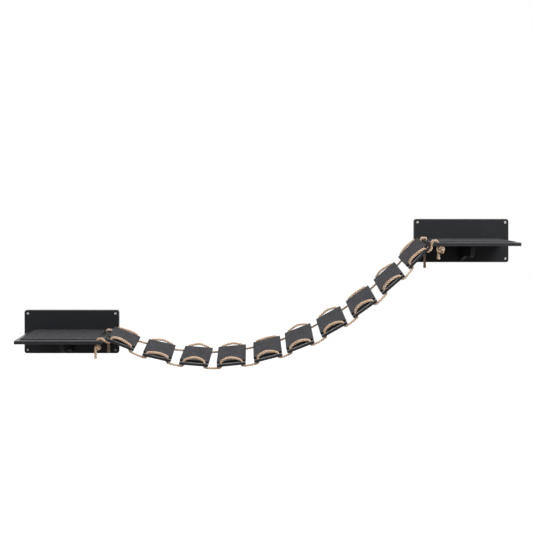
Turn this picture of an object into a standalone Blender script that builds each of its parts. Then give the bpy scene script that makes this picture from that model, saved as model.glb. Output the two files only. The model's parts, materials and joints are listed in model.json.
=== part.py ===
"""Cat wall bridge: two wall shelves joined by ten planks that hang on two jute ropes.

Metres, +Z up. The wall is the plane y = 0 and the bridge stands out towards -Y. The origin is the centre
of the lower wall plate's back face. The lower shelf is on the left, the upper one on the right.
"""

import math

import bmesh
import bpy
from mathutils import Matrix, Vector

MM = 0.001

# Gaps and overruns shared by every piece
SEAT_GAP = 0.3 * MM
BORE_GAP = 0.3 * MM
CUT_OVERRUN = 2.0 * MM
ROUND_STEPS = 12
CORNER_STEPS = 2

# Where the upper unit hangs, from the lower one
SHELF_SPREAD = 1441.0 * MM
SHELF_RISE = 337.0 * MM

# Wall plate
PLATE_WIDTH = 350.0 * MM
PLATE_HEIGHT = 160.0 * MM
PLATE_THICKNESS = 12.0 * MM
PLATE_CORNER = 9.0 * MM
PLATE_EDGE = 1.2 * MM

# Shelf board
SHELF_LENGTH = 300.0 * MM
SHELF_DEPTH = 200.0 * MM
SHELF_THICKNESS = 12.0 * MM
SHELF_TOP_DROP = 74.0 * MM
SHELF_CORNER = 4.0 * MM
SHELF_EDGE = 1.0 * MM

# Shelf mat, glued on the board and short of its edges
MAT_THICKNESS = 2.5 * MM
MAT_FREE_MARGIN = 15.0 * MM
MAT_BRIDGE_MARGIN = 21.0 * MM
MAT_FRONT_MARGIN = 18.5 * MM
MAT_WALL_MARGIN = 2.0 * MM
MAT_CORNER = 3.0 * MM
MAT_EDGE = 0.8 * MM

# Bracket under the shelf: a board cut to an S, its outline in depth from the plate and drop from the shelf
BRACKET_THICKNESS = 12.0 * MM
BRACKET_EDGE = 0.8 * MM
BRACKET_TOP_DEPTH = 148.0 * MM
BRACKET_STEP_DEPTH = 118.0 * MM
BRACKET_STEP_DROP = 45.0 * MM
BRACKET_WAIST_DEPTH = 38.0 * MM
BRACKET_WAIST_DROP = 54.0 * MM
BRACKET_TOE_DEPTH = 8.0 * MM
BRACKET_TOE_DROP = 71.0 * MM
BRACKET_CURVE_STEPS = 6

# Wall screws, one in each corner of a plate
WALL_SCREW_INSET = 13.0 * MM
WALL_SCREW_SHANK = 4.5 * MM
WALL_SCREW_HEAD = 9.0 * MM
WALL_SCREW_HEAD_RIM = 1.0 * MM
WALL_SCREW_HEAD_RISE = 2.8 * MM
CROSS_WIDTH = 1.2 * MM
CROSS_SPAN = 5.0 * MM
CROSS_DEPTH = 1.6 * MM

# Countersunk screws that hold the shelf board on the plate, from the plate's back
WOOD_SCREW_SHANK = 4.0 * MM
WOOD_SCREW_HEAD = 8.0 * MM
WOOD_SCREW_HEAD_DEPTH = 3.2 * MM
WOOD_SCREW_LENGTH = 40.0 * MM
WOOD_SCREW_TIP = 1.2 * MM
WOOD_SCREW_TIP_LENGTH = 5.0 * MM
SHELF_SCREW_INSET = 50.0 * MM

# Rope
ROPE_DIAMETER = 8.0 * MM
ROPE_SIDE_STEPS = 2
ROPE_SPLIT = 0.8 * MM
ROPE_STUB = 0.8 * MM
ROPE_HOLE = 10.0 * MM
ROPE_ROW_INSET = 7.5 * MM

# Planks
PLANK_COUNT = 10
PLANK_LENGTH = 100.0 * MM
PLANK_THICKNESS = 9.0 * MM
PLANK_CORNER = 2.0 * MM
PLANK_EDGE = 0.7 * MM
PLANK_FRONT_INSET = 5.0 * MM
PLANK_WALL_INSET = 15.0 * MM
PLANK_HOLE_INSET = 14.0 * MM
PAD_STRIP = 15.0 * MM
PAD_THICKNESS = 5.0 * MM
PAD_CORNER = 1.5 * MM
PAD_EDGE = 0.8 * MM

# How the two ropes hang: height of the line of the planks' undersides over each shelf board's top at its
# bridge end, rope length from shelf to shelf, and how the free rope is shared among the eleven gaps
NEAR_LOWER_RISE = 11.4 * MM
FAR_LOWER_RISE = 11.0 * MM
NEAR_UPPER_RISE = -2.1 * MM
FAR_UPPER_RISE = 13.4 * MM
NEAR_LINE_LENGTH = 1299.0 * MM
FAR_LINE_LENGTH = 1286.7 * MM
NEAR_GAP_SHARES = (0.65, 1.2, 1.05, 1.05, 1.05, 0.65, 1.1, 0.95, 1.0, 0.95, 0.75)
FAR_GAP_SHARES = (0.45, 1.25, 1.4, 0.85, 1.1, 0.8, 1.0, 1.05, 1.1, 0.85, 0.65)

# The lengths of rope that swing as one, by the planks that hang on them, counted from 0
SWING_GROUPS = ((0,), (1,), (2,), (3, 4), (5, 6), (7,), (8,), (9,))

# The rope's bow over each plank: height of its foot and its top over the board, and lean of its top
# towards the upper shelf
BOW_RISE = 16.0 * MM
BOW_FEET = {"near": 3.2 * MM, "far": 4.4 * MM}
BOW_REACH_POWER = 1.15
BOW_LIFT_POWER = 1.35
BOW_STEPS = 8
BOW_RISE_SHARES = {
    "near": (0.75, 0.65, 1.1, 1.1, 1.1, 0.95, 1.0, 1.0, 0.75, 0.85),
    "far": (0.45, 0.56, 0.66, 0.55, 0.41, 0.68, 0.61, 0.41, 0.54, 0.46),
}
BOW_LEANS = {
    "near": (-0.25, 0.1, 0.1, -0.1, -0.1, 0.0, -0.1, -0.1, -0.1, -0.35),
    "far": (0.3, 0.0, 0.0, 0.0, 0.0, 0.1, 0.1, 0.0, -0.2, 0.0),
}

# Way of the rope under a board, from its hole to the middle of the gap: along from the hole, and down
UNDER_ROUTE = ((0.0, 1.4 * MM), (1.6 * MM, 4.5 * MM), (6.0 * MM, 6.2 * MM))
GAP_SAG = 6.9 * MM
# Way of the rope on a shelf, from its hole to the board's end: out from the hole, and up from the board
SHELF_ROUTE = ((0.0, 1.0 * MM), (1.2 * MM, 4.6 * MM), (4.6 * MM, 7.3 * MM), (9.4 * MM, 6.4 * MM))
SHELF_HOLE_INSET = 15.0 * MM
# Way of the rope at a shelf's end edge: how far round the edge it is held, from straight up, and where it
# goes under the plank next to the shelf
EDGE_CLEARANCE = 0.7 * MM
EDGE_TURNS = {"lower": (12, 50), "upper": (12, 45, 78)}
EDGE_UNDER_ROUTE = (16.0 * MM, 6.6 * MM)
EDGE_SIDE_SHARE = 0.2
ROUTE_STEPS = 2

# Stopper knot: an overhand knot on a ring. Its sizes are shares of the rope's spacing in the knot, where
# the rope is pulled thinner
KNOT_SPACING = 6.25 * MM
KNOT_ROPE_SHARE = 0.75
KNOT_FINE_STEPS = 4
KNOT_RING_SHARE = 1.22
KNOT_WAVE_SHARE = 0.56
KNOT_DEPTH_SHARE = 0.745
KNOT_LEG_SHARE = 1.74
KNOT_LEG_DEPTH_SHARE = 0.58
KNOT_LEG_END_SHARE = 0.57
KNOT_HEIGHT_SHARE = 2.13
KNOT_OPENING = 0.67
KNOT_STEPS = 15
# How each knot is turned under its hole, and the side of the hole that its ring is on
KNOT_TURNS = {
    ("lower", "near"): (math.radians(75), -1),
    ("lower", "far"): (math.radians(-40), 1),
    ("upper", "near"): (math.radians(-35), -1),
    ("upper", "far"): (math.radians(40), -1),
}

# How far each rope's cut end hangs under its shelf board, and how much its loose strands spread there
TAIL_DROPS = {
    ("lower", "near"): 51.0 * MM,
    ("lower", "far"): 65.0 * MM,
    ("upper", "near"): 46.0 * MM,
    ("upper", "far"): 90.0 * MM,
}
TAIL_SPREADS = {
    ("lower", "near"): 1.3,
    ("lower", "far"): 1.2,
    ("upper", "near"): 1.5,
    ("upper", "far"): 1.1,
}

# Worked out from the sizes above
SHELF_TOP = PLATE_HEIGHT / 2 - SHELF_TOP_DROP
SHELF_UNDERSIDE = SHELF_TOP - SHELF_THICKNESS
SHELF_FRONT = PLATE_THICKNESS + SEAT_GAP + SHELF_DEPTH
PLANK_WIDTH = SHELF_DEPTH - PLANK_FRONT_INSET - PLANK_WALL_INSET
PLANK_CENTRE = SHELF_FRONT - PLANK_FRONT_INSET - PLANK_WIDTH / 2
PAD_WIDTH = PLANK_WIDTH - 2 * PAD_STRIP
ROPE_ROW = PLANK_WIDTH / 2 - ROPE_ROW_INSET
ROPE_RADIUS = ROPE_DIAMETER / 2
ROPE_SEAT = ROPE_RADIUS + EDGE_CLEARANCE
HALF_BOARD = PLANK_THICKNESS / 2
HALF_HOLES = PLANK_LENGTH / 2 - PLANK_HOLE_INSET
ROWS = {"near": -1, "far": 1}
ENDS = {"lower": 1, "upper": -1}


def material(name, colour, roughness, metallic=0.0):
    """A Principled material with one colour and finish."""
    made = bpy.data.materials.new(name)
    made.use_nodes = True
    shader = made.node_tree.nodes["Principled BSDF"]
    shader.inputs["Base Color"].default_value = (*colour, 1.0)
    shader.inputs["Roughness"].default_value = roughness
    shader.inputs["Metallic"].default_value = metallic
    made.diffuse_color = (*colour, 1.0)
    return made


def add_object(name, data, finish=None, parent=None):
    """Link a new object, under a parent empty where there is one."""
    made = bpy.data.objects.new(name, data)
    bpy.context.scene.collection.objects.link(made)
    if finish:
        data.materials.append(finish)
    if parent:
        made.parent = parent
    return made


def add_empty(name, matrix, parent=None):
    """An empty that carries a moving or repeated group, at its joint's axis."""
    empty = add_object(name, None, parent=parent)
    empty.empty_display_size = ROPE_DIAMETER
    empty.matrix_basis = world_of(parent).inverted() @ matrix if parent else matrix
    return empty


def mesh_from(name, shape, sharp=math.radians(40)):
    """Turn a bmesh into a mesh, smooth except over sharp edges."""
    bmesh.ops.recalc_face_normals(shape, faces=shape.faces)
    mesh = bpy.data.meshes.new(name)
    shape.to_mesh(mesh)
    shape.free()
    mesh.shade_smooth()
    mesh.set_sharp_from_angle(angle=sharp)
    return mesh


def extrude_outline(shape, outline, way):
    """Add the closed solid that a flat outline sweeps along a way."""
    start = [shape.verts.new(point) for point in outline]
    face = shape.faces.new(start)
    grown = bmesh.ops.extrude_face_region(shape, geom=[face])["geom"]
    moved = [item for item in grown if isinstance(item, bmesh.types.BMVert)]
    bmesh.ops.translate(shape, verts=moved, vec=way)


def rounded_outline(width, depth, corner):
    """Points of a rectangle with round corners, centred, in the XY plane."""
    points = []
    for quarter, (sx, sy) in enumerate(((1, 1), (-1, 1), (-1, -1), (1, -1))):
        centre = Vector((sx * (width / 2 - corner), sy * (depth / 2 - corner), 0))
        for step in range(CORNER_STEPS + 1):
            angle = math.pi / 2 * (quarter + step / CORNER_STEPS)
            points.append(centre + corner * Vector((math.cos(angle), math.sin(angle), 0)))
    return points


def soften_edges(piece, width):
    """Round the right-angled edges a little."""
    bevel = piece.modifiers.new("edges", "BEVEL")
    bevel.width = width
    bevel.segments = 1
    bevel.limit_method = "ANGLE"
    bevel.angle_limit = math.radians(60)


def slab(name, size, corner, edge, finish, parent=None):
    """A flat board with round corners and soft edges, standing on its own z = 0."""
    shape = bmesh.new()
    extrude_outline(shape, rounded_outline(size[0], size[1], corner), Vector((0, 0, size[2])))
    piece = add_object(name, mesh_from(name, shape), finish, parent)
    soften_edges(piece, edge)
    return piece


def turned(shape, profile, place):
    """Add a solid turned about its own Z from (radius, height) points; a radius of 0 closes it to a tip."""
    rings = []
    for radius, height in profile:
        if radius == 0:
            rings.append([shape.verts.new(place @ Vector((0, 0, height)))])
            continue
        ring = []
        for step in range(ROUND_STEPS):
            angle = 2 * math.pi * step / ROUND_STEPS
            point = Vector((radius * math.cos(angle), radius * math.sin(angle), height))
            ring.append(shape.verts.new(place @ point))
        rings.append(ring)
    for low, high in zip(rings, rings[1:]):
        for step in range(ROUND_STEPS):
            after = (step + 1) % ROUND_STEPS
            corners = [low[step % len(low)], low[after % len(low)]]
            corners += [high[after % len(high)], high[step % len(high)]]
            shape.faces.new(list(dict.fromkeys(corners)))
    for ring in (rings[0], rings[-1]):
        if len(ring) > 1:
            shape.faces.new(ring)


def cut(piece, shape):
    """Cut a shape out of a piece with a hidden cutter, under the same parent."""
    cutter = add_object(piece.name + "_cutter", mesh_from("cutter", shape), parent=piece.parent)
    cutter.hide_render = True
    cutter.display_type = "WIRE"
    boolean = piece.modifiers.new("cut", "BOOLEAN")
    boolean.operation = "DIFFERENCE"
    boolean.solver = "EXACT"
    boolean.object = cutter


def drill(shape, place, radius, start, end):
    """Add a round drill to a cutter, from one height to another along the place's own Z."""
    turned(shape, ((radius, start), (radius, end)), place)


def aim(point, along):
    """A place at a point whose Z points along a direction."""
    return Matrix.Translation(point) @ Vector(along).to_track_quat("Z", "Y").to_matrix().to_4x4()


def wood_screw_profile():
    """Outline of a countersunk screw, head at z = 0 and tip at the end of its length."""
    shank = WOOD_SCREW_SHANK / 2
    return (
        (WOOD_SCREW_HEAD / 2, 0),
        (shank, WOOD_SCREW_HEAD_DEPTH),
        (shank, WOOD_SCREW_LENGTH - WOOD_SCREW_TIP_LENGTH),
        (WOOD_SCREW_TIP / 2, WOOD_SCREW_LENGTH),
    )


def sink(shape, place):
    """Add to a cutter the countersunk hole that a wood screw sits in, through the first board."""
    clear = WOOD_SCREW_SHANK / 2 + BORE_GAP
    rim = WOOD_SCREW_HEAD / 2 + BORE_GAP
    slope = (rim - clear) / WOOD_SCREW_HEAD_DEPTH
    profile = (
        (rim + slope * (SEAT_GAP + CUT_OVERRUN), -SEAT_GAP - CUT_OVERRUN),
        (clear, WOOD_SCREW_HEAD_DEPTH),
        (clear, WOOD_SCREW_LENGTH + SEAT_GAP),
    )
    turned(shape, profile, place)


def screw(name, profile, place, finish, parent):
    """One screw, turned about its own Z."""
    shape = bmesh.new()
    turned(shape, profile, place)
    return add_object(name, mesh_from(name, shape), finish, parent)


def wall_screw(name, place, finish, parent):
    """One screw of the four that hold a plate, from the wall's plane to its domed head."""
    shank, head = WALL_SCREW_SHANK / 2, WALL_SCREW_HEAD / 2
    seat = PLATE_THICKNESS + SEAT_GAP
    rim, top = seat + WALL_SCREW_HEAD_RIM, seat + WALL_SCREW_HEAD_RISE
    angles = [math.radians(angle) for angle in (35, 65)]
    dome = [(head * math.cos(angle), rim + (top - rim) * math.sin(angle)) for angle in angles]
    profile = ((shank, 0), (shank, seat), (head, seat), (head, rim), *dome, (0, top))
    piece = screw(name, profile, place, finish, parent)
    thin, wide = CROSS_WIDTH / 2, CROSS_SPAN / 2
    arm = ((wide, thin), (thin, thin), (thin, wide))
    outline = []
    for sx, sy, order in ((1, 1, 1), (-1, 1, -1), (-1, -1, 1), (1, -1, -1)):
        outline += [Vector((sx * x, sy * y, 0)) for x, y in arm[::order]]
    low = place @ Matrix.Translation((0, 0, top - CROSS_DEPTH))
    out = low.to_3x3() @ Vector((0, 0, CROSS_DEPTH + CUT_OVERRUN))
    cross = bmesh.new()
    extrude_outline(cross, [low @ point for point in outline], out)
    cut(piece, cross)


def wall_screw_places():
    """Where the four wall screws go, aimed out of the wall."""
    across = PLATE_WIDTH / 2 - WALL_SCREW_INSET
    up = PLATE_HEIGHT / 2 - WALL_SCREW_INSET
    return [aim((sx * across, 0, sz * up), (0, -1, 0)) for sx in (-1, 1) for sz in (-1, 1)]


def shelf_screw_places():
    """Where the screws go from the plate's back into the shelf board's edge."""
    across, height = SHELF_LENGTH / 2 - SHELF_SCREW_INSET, SHELF_TOP - SHELF_THICKNESS / 2
    return [aim((side * across, -SEAT_GAP, height), (0, -1, 0)) for side in (-1, 1)]


def bezier(start, first, second, end, steps):
    """Points of a cubic curve after its start, in any number of dimensions."""
    points = []
    for step in range(1, steps + 1):
        t = step / steps
        weights = ((1 - t) ** 3, 3 * t * (1 - t) ** 2, 3 * t * t * (1 - t), t**3)
        parts = list(zip(weights, (start, first, second, end)))
        points.append(tuple(sum(weight * point[axis] for weight, point in parts) for axis in (0, 1)))
    return points


def bracket_outline():
    """The S of the bracket as (depth, drop) points, from the plate along the top and back down the S."""
    top, step = BRACKET_TOP_DEPTH, BRACKET_STEP_DEPTH
    waist, toe = BRACKET_WAIST_DEPTH, BRACKET_TOE_DEPTH
    nose = (top, BRACKET_STEP_DROP * 0.5)
    curl = (step + (top - step) * 0.7, BRACKET_STEP_DROP)
    points = [(0, 0), (top, 0)]
    points += bezier((top, 0), nose, curl, (step, BRACKET_STEP_DROP), BRACKET_CURVE_STEPS)
    flat = (step - (step - waist) * 0.3, BRACKET_STEP_DROP)
    neck = (waist + (step - waist) * 0.25, BRACKET_STEP_DROP)
    points += bezier((step, BRACKET_STEP_DROP), flat, neck, (waist, BRACKET_WAIST_DROP), BRACKET_CURVE_STEPS)
    heel = (toe + (waist - toe) * 0.45, BRACKET_WAIST_DROP + (BRACKET_TOE_DROP - BRACKET_WAIST_DROP) * 0.35)
    tip = (toe, BRACKET_TOE_DROP)
    points += bezier((waist, BRACKET_WAIST_DROP), heel, (toe, heel[1]), tip, BRACKET_CURVE_STEPS)
    points.append((0, BRACKET_TOE_DROP))
    return points


def build_bracket(name, finish, parent):
    """The bracket, glued under the shelf on the plate's centre line."""
    shape = bmesh.new()
    back, top = -PLATE_THICKNESS - SEAT_GAP, SHELF_UNDERSIDE - SEAT_GAP
    left = -BRACKET_THICKNESS / 2
    outline = [Vector((left, back - depth, top - drop)) for depth, drop in bracket_outline()]
    extrude_outline(shape, outline, Vector((BRACKET_THICKNESS, 0, 0)))
    piece = add_object(name, mesh_from(name, shape), finish, parent)
    soften_edges(piece, BRACKET_EDGE)


def build_plate(name, finish, parent):
    """The wall plate with its screw holes; its back face is the wall's plane."""
    size = (PLATE_WIDTH, PLATE_HEIGHT, PLATE_THICKNESS)
    piece = slab(name, size, PLATE_CORNER, PLATE_EDGE, finish, parent)
    piece.rotation_euler = (math.pi / 2, 0, 0)
    holes = bmesh.new()
    for place in wall_screw_places():
        drill(holes, place, WALL_SCREW_SHANK / 2 + BORE_GAP, -CUT_OVERRUN, PLATE_THICKNESS + CUT_OVERRUN)
    for place in shelf_screw_places():
        sink(holes, place)
    cut(piece, holes)


def build_shelf(name, side, finish, parent):
    """The shelf board with its two rope holes and the bores of its screws."""
    size = (SHELF_LENGTH, SHELF_DEPTH, SHELF_THICKNESS)
    piece = slab(name, size, SHELF_CORNER, SHELF_EDGE, finish, parent)
    piece.location = (0, -SHELF_FRONT + SHELF_DEPTH / 2, SHELF_UNDERSIDE)
    holes = bmesh.new()
    for row in ROWS.values():
        spot = Matrix.Translation((side * shelf_hole_x(), rope_row_y(row), SHELF_UNDERSIDE))
        drill(holes, spot, ROPE_HOLE / 2, -CUT_OVERRUN, SHELF_THICKNESS + CUT_OVERRUN)
    bore = WOOD_SCREW_SHANK / 2 + BORE_GAP
    for place in shelf_screw_places():
        drill(holes, place, bore, PLATE_THICKNESS - CUT_OVERRUN, WOOD_SCREW_LENGTH + SEAT_GAP)
    cut(piece, holes)


def build_mat(name, side, finish, parent):
    """The mat, short of the board's front and ends."""
    length = SHELF_LENGTH - MAT_FREE_MARGIN - MAT_BRIDGE_MARGIN
    depth = SHELF_DEPTH - MAT_FRONT_MARGIN - MAT_WALL_MARGIN
    piece = slab(name, (length, depth, MAT_THICKNESS), MAT_CORNER, MAT_EDGE, finish, parent)
    shift = side * (MAT_FREE_MARGIN - MAT_BRIDGE_MARGIN) / 2
    piece.location = (shift, -SHELF_FRONT + MAT_FRONT_MARGIN + depth / 2, SHELF_TOP + SEAT_GAP)


def build_wall_unit(end, finishes):
    """One plate, shelf, mat and bracket with their screws; the bridge is on the right of the lower one."""
    side = ENDS[end]
    unit = add_empty(end + "_unit", Matrix.Translation(unit_origin(end)))
    build_plate(end + "_wall_plate", finishes["board"], unit)
    build_shelf(end + "_shelf_board", side, finishes["board"], unit)
    build_mat(end + "_shelf_mat", side, finishes["mat"], unit)
    build_bracket(end + "_bracket", finishes["board"], unit)
    for number, place in enumerate(wall_screw_places(), 1):
        wall_screw(f"{end}_wall_screw_{number}", place, finishes["steel"], unit)
    for number, place in enumerate(shelf_screw_places(), 1):
        screw(f"{end}_shelf_screw_{number}", wood_screw_profile(), place, finishes["steel"], unit)


def unit_origin(end):
    """Centre of a wall plate's back face."""
    return Vector((0, 0, 0)) if end == "lower" else Vector((SHELF_SPREAD, 0, SHELF_RISE))


def shelf_hole_x():
    """Distance of the rope holes from the shelf's middle."""
    return SHELF_LENGTH / 2 - SHELF_HOLE_INSET


def rope_row_y(row):
    """Where a rope's row of holes lies; row is -1 near the front and +1 near the wall."""
    return -PLANK_CENTRE + row * ROPE_ROW


def shelf_corner(end):
    """(x, z) of the top edge of a shelf board's bridge end."""
    origin = unit_origin(end)
    return origin.x + ENDS[end] * SHELF_LENGTH / 2, origin.z + SHELF_TOP


def hanging_line(start, end, length):
    """The catenary of a given length between two (x, z) points, as a function from distance to (x, z)."""
    across, rise = end[0] - start[0], end[1] - start[1]
    level = math.sqrt(length**2 - rise**2)
    low, high = across / 50, across * 50
    for _ in range(100):
        flat = (low + high) / 2
        if 2 * flat * math.sinh(across / (2 * flat)) > level:
            low = flat
        else:
            high = flat
    middle = (start[0] + end[0]) / 2 - flat * math.atanh(rise / length)
    first = flat * math.sinh((start[0] - middle) / flat)
    base = start[1] - flat * math.cosh((start[0] - middle) / flat)

    def at(distance):
        x = middle + flat * math.asinh((first + distance) / flat)
        return x, base + flat * math.cosh((x - middle) / flat)

    return at


def plank_ends(row, lower_rise, upper_rise, length, shares):
    """Where both ends of each plank's underside lie over one rope's row."""
    lower, upper = shelf_corner("lower"), shelf_corner("upper")
    at = hanging_line((lower[0], lower[1] + lower_rise), (upper[0], upper[1] + upper_rise), length)
    free = (length - PLANK_COUNT * PLANK_LENGTH) / sum(shares)
    ends = []
    for number in range(PLANK_COUNT):
        start = free * sum(shares[: number + 1]) + number * PLANK_LENGTH
        ends.append([Vector((x, rope_row_y(row), z)) for x, z in (at(start), at(start + PLANK_LENGTH))])
    return ends


def plank_places():
    """Place of each plank: X along the bridge, Y to the wall, Z up, origin at the middle of the board."""
    near = plank_ends(ROWS["near"], NEAR_LOWER_RISE, NEAR_UPPER_RISE, NEAR_LINE_LENGTH, NEAR_GAP_SHARES)
    far = plank_ends(ROWS["far"], FAR_LOWER_RISE, FAR_UPPER_RISE, FAR_LINE_LENGTH, FAR_GAP_SHARES)
    places = []
    for (near_a, near_b), (far_a, far_b) in zip(near, far):
        across = (far_a + far_b - near_a - near_b).normalized()
        along = near_b - near_a + far_b - far_a
        along = (along - across * along.dot(across)).normalized()
        up = along.cross(across)
        middle = (near_a + near_b + far_a + far_b) / 4 + up * HALF_BOARD
        turn = Matrix((along, across, up)).transposed().to_4x4()
        places.append(Matrix.Translation(middle) @ turn)
    return places


def smooth_route(points, steps=ROUTE_STEPS):
    """Points of one smooth curve through a route's own points."""
    line = [2 * points[0] - points[1], *points, 2 * points[-1] - points[-2]]
    smooth = []
    for a, b, c, d in zip(line, line[1:], line[2:], line[3:]):
        for step in range(steps):
            t = step / steps
            bend = (2 * a - 5 * b + 4 * c - d) * t * t + (3 * b - a - 3 * c + d) * t**3
            smooth.append((2 * b + (c - a) * t + bend) / 2)
    smooth.append(points[-1])
    return smooth


def rope(name, route, finish, parent, thins=None):
    """A round tube along a route in world space, under an empty, thinner where the rope is pulled tight."""
    curve = bpy.data.curves.new(name, "CURVE")
    curve.dimensions = "3D"
    curve.bevel_depth = ROPE_RADIUS
    curve.bevel_resolution = ROPE_SIDE_STEPS
    curve.use_fill_caps = True
    home = world_of(parent).inverted()
    spline = curve.splines.new("POLY")
    spline.points.add(len(route) - 1)
    for number, (spot, point) in enumerate(zip(spline.points, route)):
        spot.co = (*(home @ point), 1)
        spot.radius = thins[number] if thins else 1
    spline.use_smooth = True
    return add_object(name, curve, finish, parent)


def world_of(empty):
    """World place of an empty, from its own and its parents' places."""
    place = empty.matrix_basis.copy()
    while empty.parent:
        empty = empty.parent
        place = empty.matrix_basis @ place
    return place


def bow_route(place, name, number):
    """The rope over a plank, from the top of its left hole to the top of its right one."""
    foot, rise = BOW_FEET[name], BOW_RISE * BOW_RISE_SHARES[name][number]
    lean = BOW_LEANS[name][number]
    bow = []
    for step in range(BOW_STEPS + 1):
        angle = math.pi * (1 - step / BOW_STEPS)
        along = math.copysign(abs(math.cos(angle)) ** BOW_REACH_POWER, math.cos(angle))
        lift = foot + (rise - foot) * max(math.sin(angle), 0) ** BOW_LIFT_POWER
        reach = HALF_HOLES * (along + lean * (1 - along**2))
        bow.append(place @ Vector((reach, ROWS[name] * ROPE_ROW, HALF_BOARD + lift)))
    return bow


def under_route(place, row, side, route=UNDER_ROUTE):
    """The rope under one end of a plank, from its hole out towards the gap."""
    hole, y = side * HALF_HOLES, row * ROPE_ROW
    return [place @ Vector((hole + side * along, y, -HALF_BOARD - down)) for along, down in route]


def gap_middle(left, right, row):
    """The middle of the rope between two planks."""
    reach, drop = PLANK_LENGTH / 2, -HALF_BOARD - GAP_SAG
    before = left @ Vector((reach, row * ROPE_ROW, drop))
    after = right @ Vector((-reach, row * ROPE_ROW, drop))
    return (before + after) / 2


def edge_wrap(end, row):
    """The rope's points round a shelf's end edge, from over the board to where the free rope starts."""
    x, z = shelf_corner(end)
    turns = [math.radians(turn) for turn in EDGE_TURNS[end]]
    reach = [(ENDS[end] * ROPE_SEAT * math.sin(turn), ROPE_SEAT * math.cos(turn)) for turn in turns]
    return [Vector((x + out, rope_row_y(row), z + up)) for out, up in reach]


def edge_under(end, places, row):
    """Where the rope from a shelf's edge goes under the next plank."""
    place = places[0] if end == "lower" else places[-1]
    under = under_route(place, row, -ENDS[end], [EDGE_UNDER_ROUTE])[0]
    under.y = rope_row_y(row) + (under.y - rope_row_y(row)) * EDGE_SIDE_SHARE
    return under


def square_way(start, end):
    """Direction from one point to another, square to the sideways sway."""
    way = end - start
    way.y = 0
    return way.normalized()


def edge_cut(end, places, row):
    """Middle of the cut between a rope's fixed end and its free length, and the way to the free one."""
    pivot = edge_wrap(end, row)[-1]
    way = square_way(pivot, edge_under(end, places, row))
    return pivot + way * (ROPE_STUB + ROPE_SPLIT / 2), way


def cut_before(places, number, row):
    """Middle of the cut before a plank, counted from 0 at the lower shelf, and the way on from there."""
    if number == 0:
        return edge_cut("lower", places, row)
    if number == PLANK_COUNT:
        point, way = edge_cut("upper", places, row)
        return point, -way
    left, right = places[number - 1], places[number]
    way = square_way(under_route(left, row, 1)[-1], under_route(right, row, -1)[-1])
    return gap_middle(left, right, row), way


def swing_route(places, group, name):
    """One swinging length of rope, from the cut before its first plank to the cut after its last."""
    row = ROWS[name]
    first, last = group[0], group[-1]
    point, way = cut_before(places, first, row)
    points = [point + way * ROPE_SPLIT / 2, point + way * (ROPE_SPLIT / 2 + ROPE_STUB)]
    if first == 0:
        points.append(edge_under("lower", places, row))
    for number in group:
        place = places[number]
        if number != first:
            points.append(gap_middle(places[number - 1], place, row))
        points += reversed(under_route(place, row, -1))
        points += bow_route(place, name, number)
        points += under_route(place, row, 1)
    if last == PLANK_COUNT - 1:
        points.append(edge_under("upper", places, row))
    point, way = cut_before(places, last + 1, row)
    points += [point - way * (ROPE_SPLIT / 2 + ROPE_STUB), point - way * ROPE_SPLIT / 2]
    return points


def knot_points(place, turn, side):
    """An open overhand knot whose standing part comes down on the place's own point.

    The knot lies on a ring: twice round it and three times over its wave. It is cut open where the ring
    is widest, and both cut ends run on as straight legs, one up and one down.
    """
    pitch = KNOT_SPACING
    ring, wave = KNOT_RING_SHARE * pitch, KNOT_WAVE_SHARE * pitch
    body = []
    for step in range(KNOT_STEPS):
        t = -KNOT_OPENING - (2 * math.pi - 2 * KNOT_OPENING) * step / (KNOT_STEPS - 1)
        out = ring + wave * math.cos(3 * t)
        depth = KNOT_DEPTH_SHARE * pitch * math.sin(3 * t)
        body.append(Vector((out * math.cos(2 * t), depth, out * math.sin(2 * t))))
    leg = Vector((KNOT_LEG_SHARE * pitch, math.copysign(KNOT_LEG_DEPTH_SHARE * pitch, body[0].y), 0))
    tail = Vector((leg.x, -leg.y, 0))
    end = Vector((0, 0, KNOT_LEG_END_SHARE * pitch))
    points = [leg - end, *body, tail + end]
    spin = Matrix.Rotation(turn, 3, "Z") @ Matrix.Diagonal((side, 1, 1))
    centre = place - spin @ leg - Vector((0, 0, KNOT_HEIGHT_SHARE * pitch))
    return [centre + spin @ point for point in points]


def rope_end(end, name, places):
    """A rope's end on its shelf: from the end edge to the hole, the knot under the board, and the tail."""
    side, row = ENDS[end], ROWS[name]
    x, top = shelf_corner(end)
    hole = x - side * SHELF_HOLE_INSET
    y = rope_row_y(row)
    under = top - SHELF_THICKNESS
    over = [Vector((hole + side * out, y, top + up)) for out, up in reversed(SHELF_ROUTE)]
    knot = knot_points(Vector((hole, y, under - SEAT_GAP)), *KNOT_TURNS[end, name])
    tail = Vector((knot[-1].x, knot[-1].y, under - TAIL_DROPS[end, name]))
    bore = [Vector((hole, y, height)) for height in ((top + under) / 2, under)]
    points = [*reversed(edge_wrap(end, row)), *over, *bore]
    ahead = len(points)
    points += [*knot, *(knot[-1].lerp(tail, share) for share in (0.35, 0.7, 1.0))]
    route = smooth_route(points)
    last = ahead + len(knot)
    thins = [1]
    for step in range(len(route)):
        spot = step / ROUTE_STEPS
        inside = min(max(spot - ahead + 1, 0), max(last - spot, 0), 1)
        spread = (TAIL_SPREADS[end, name] - 1) * max(spot - last, 0) / (len(points) - 1 - last)
        thins.append(1 - (1 - KNOT_ROPE_SHARE) * inside + spread)
    fine = smooth_route(points, KNOT_FINE_STEPS)[ahead * KNOT_FINE_STEPS : last * KNOT_FINE_STEPS]
    point, way = edge_cut(end, places, row)
    return [point - way * ROPE_SPLIT / 2, *route], thins, least_gap(fine, ROPE_DIAMETER * KNOT_ROPE_SHARE)


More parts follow.
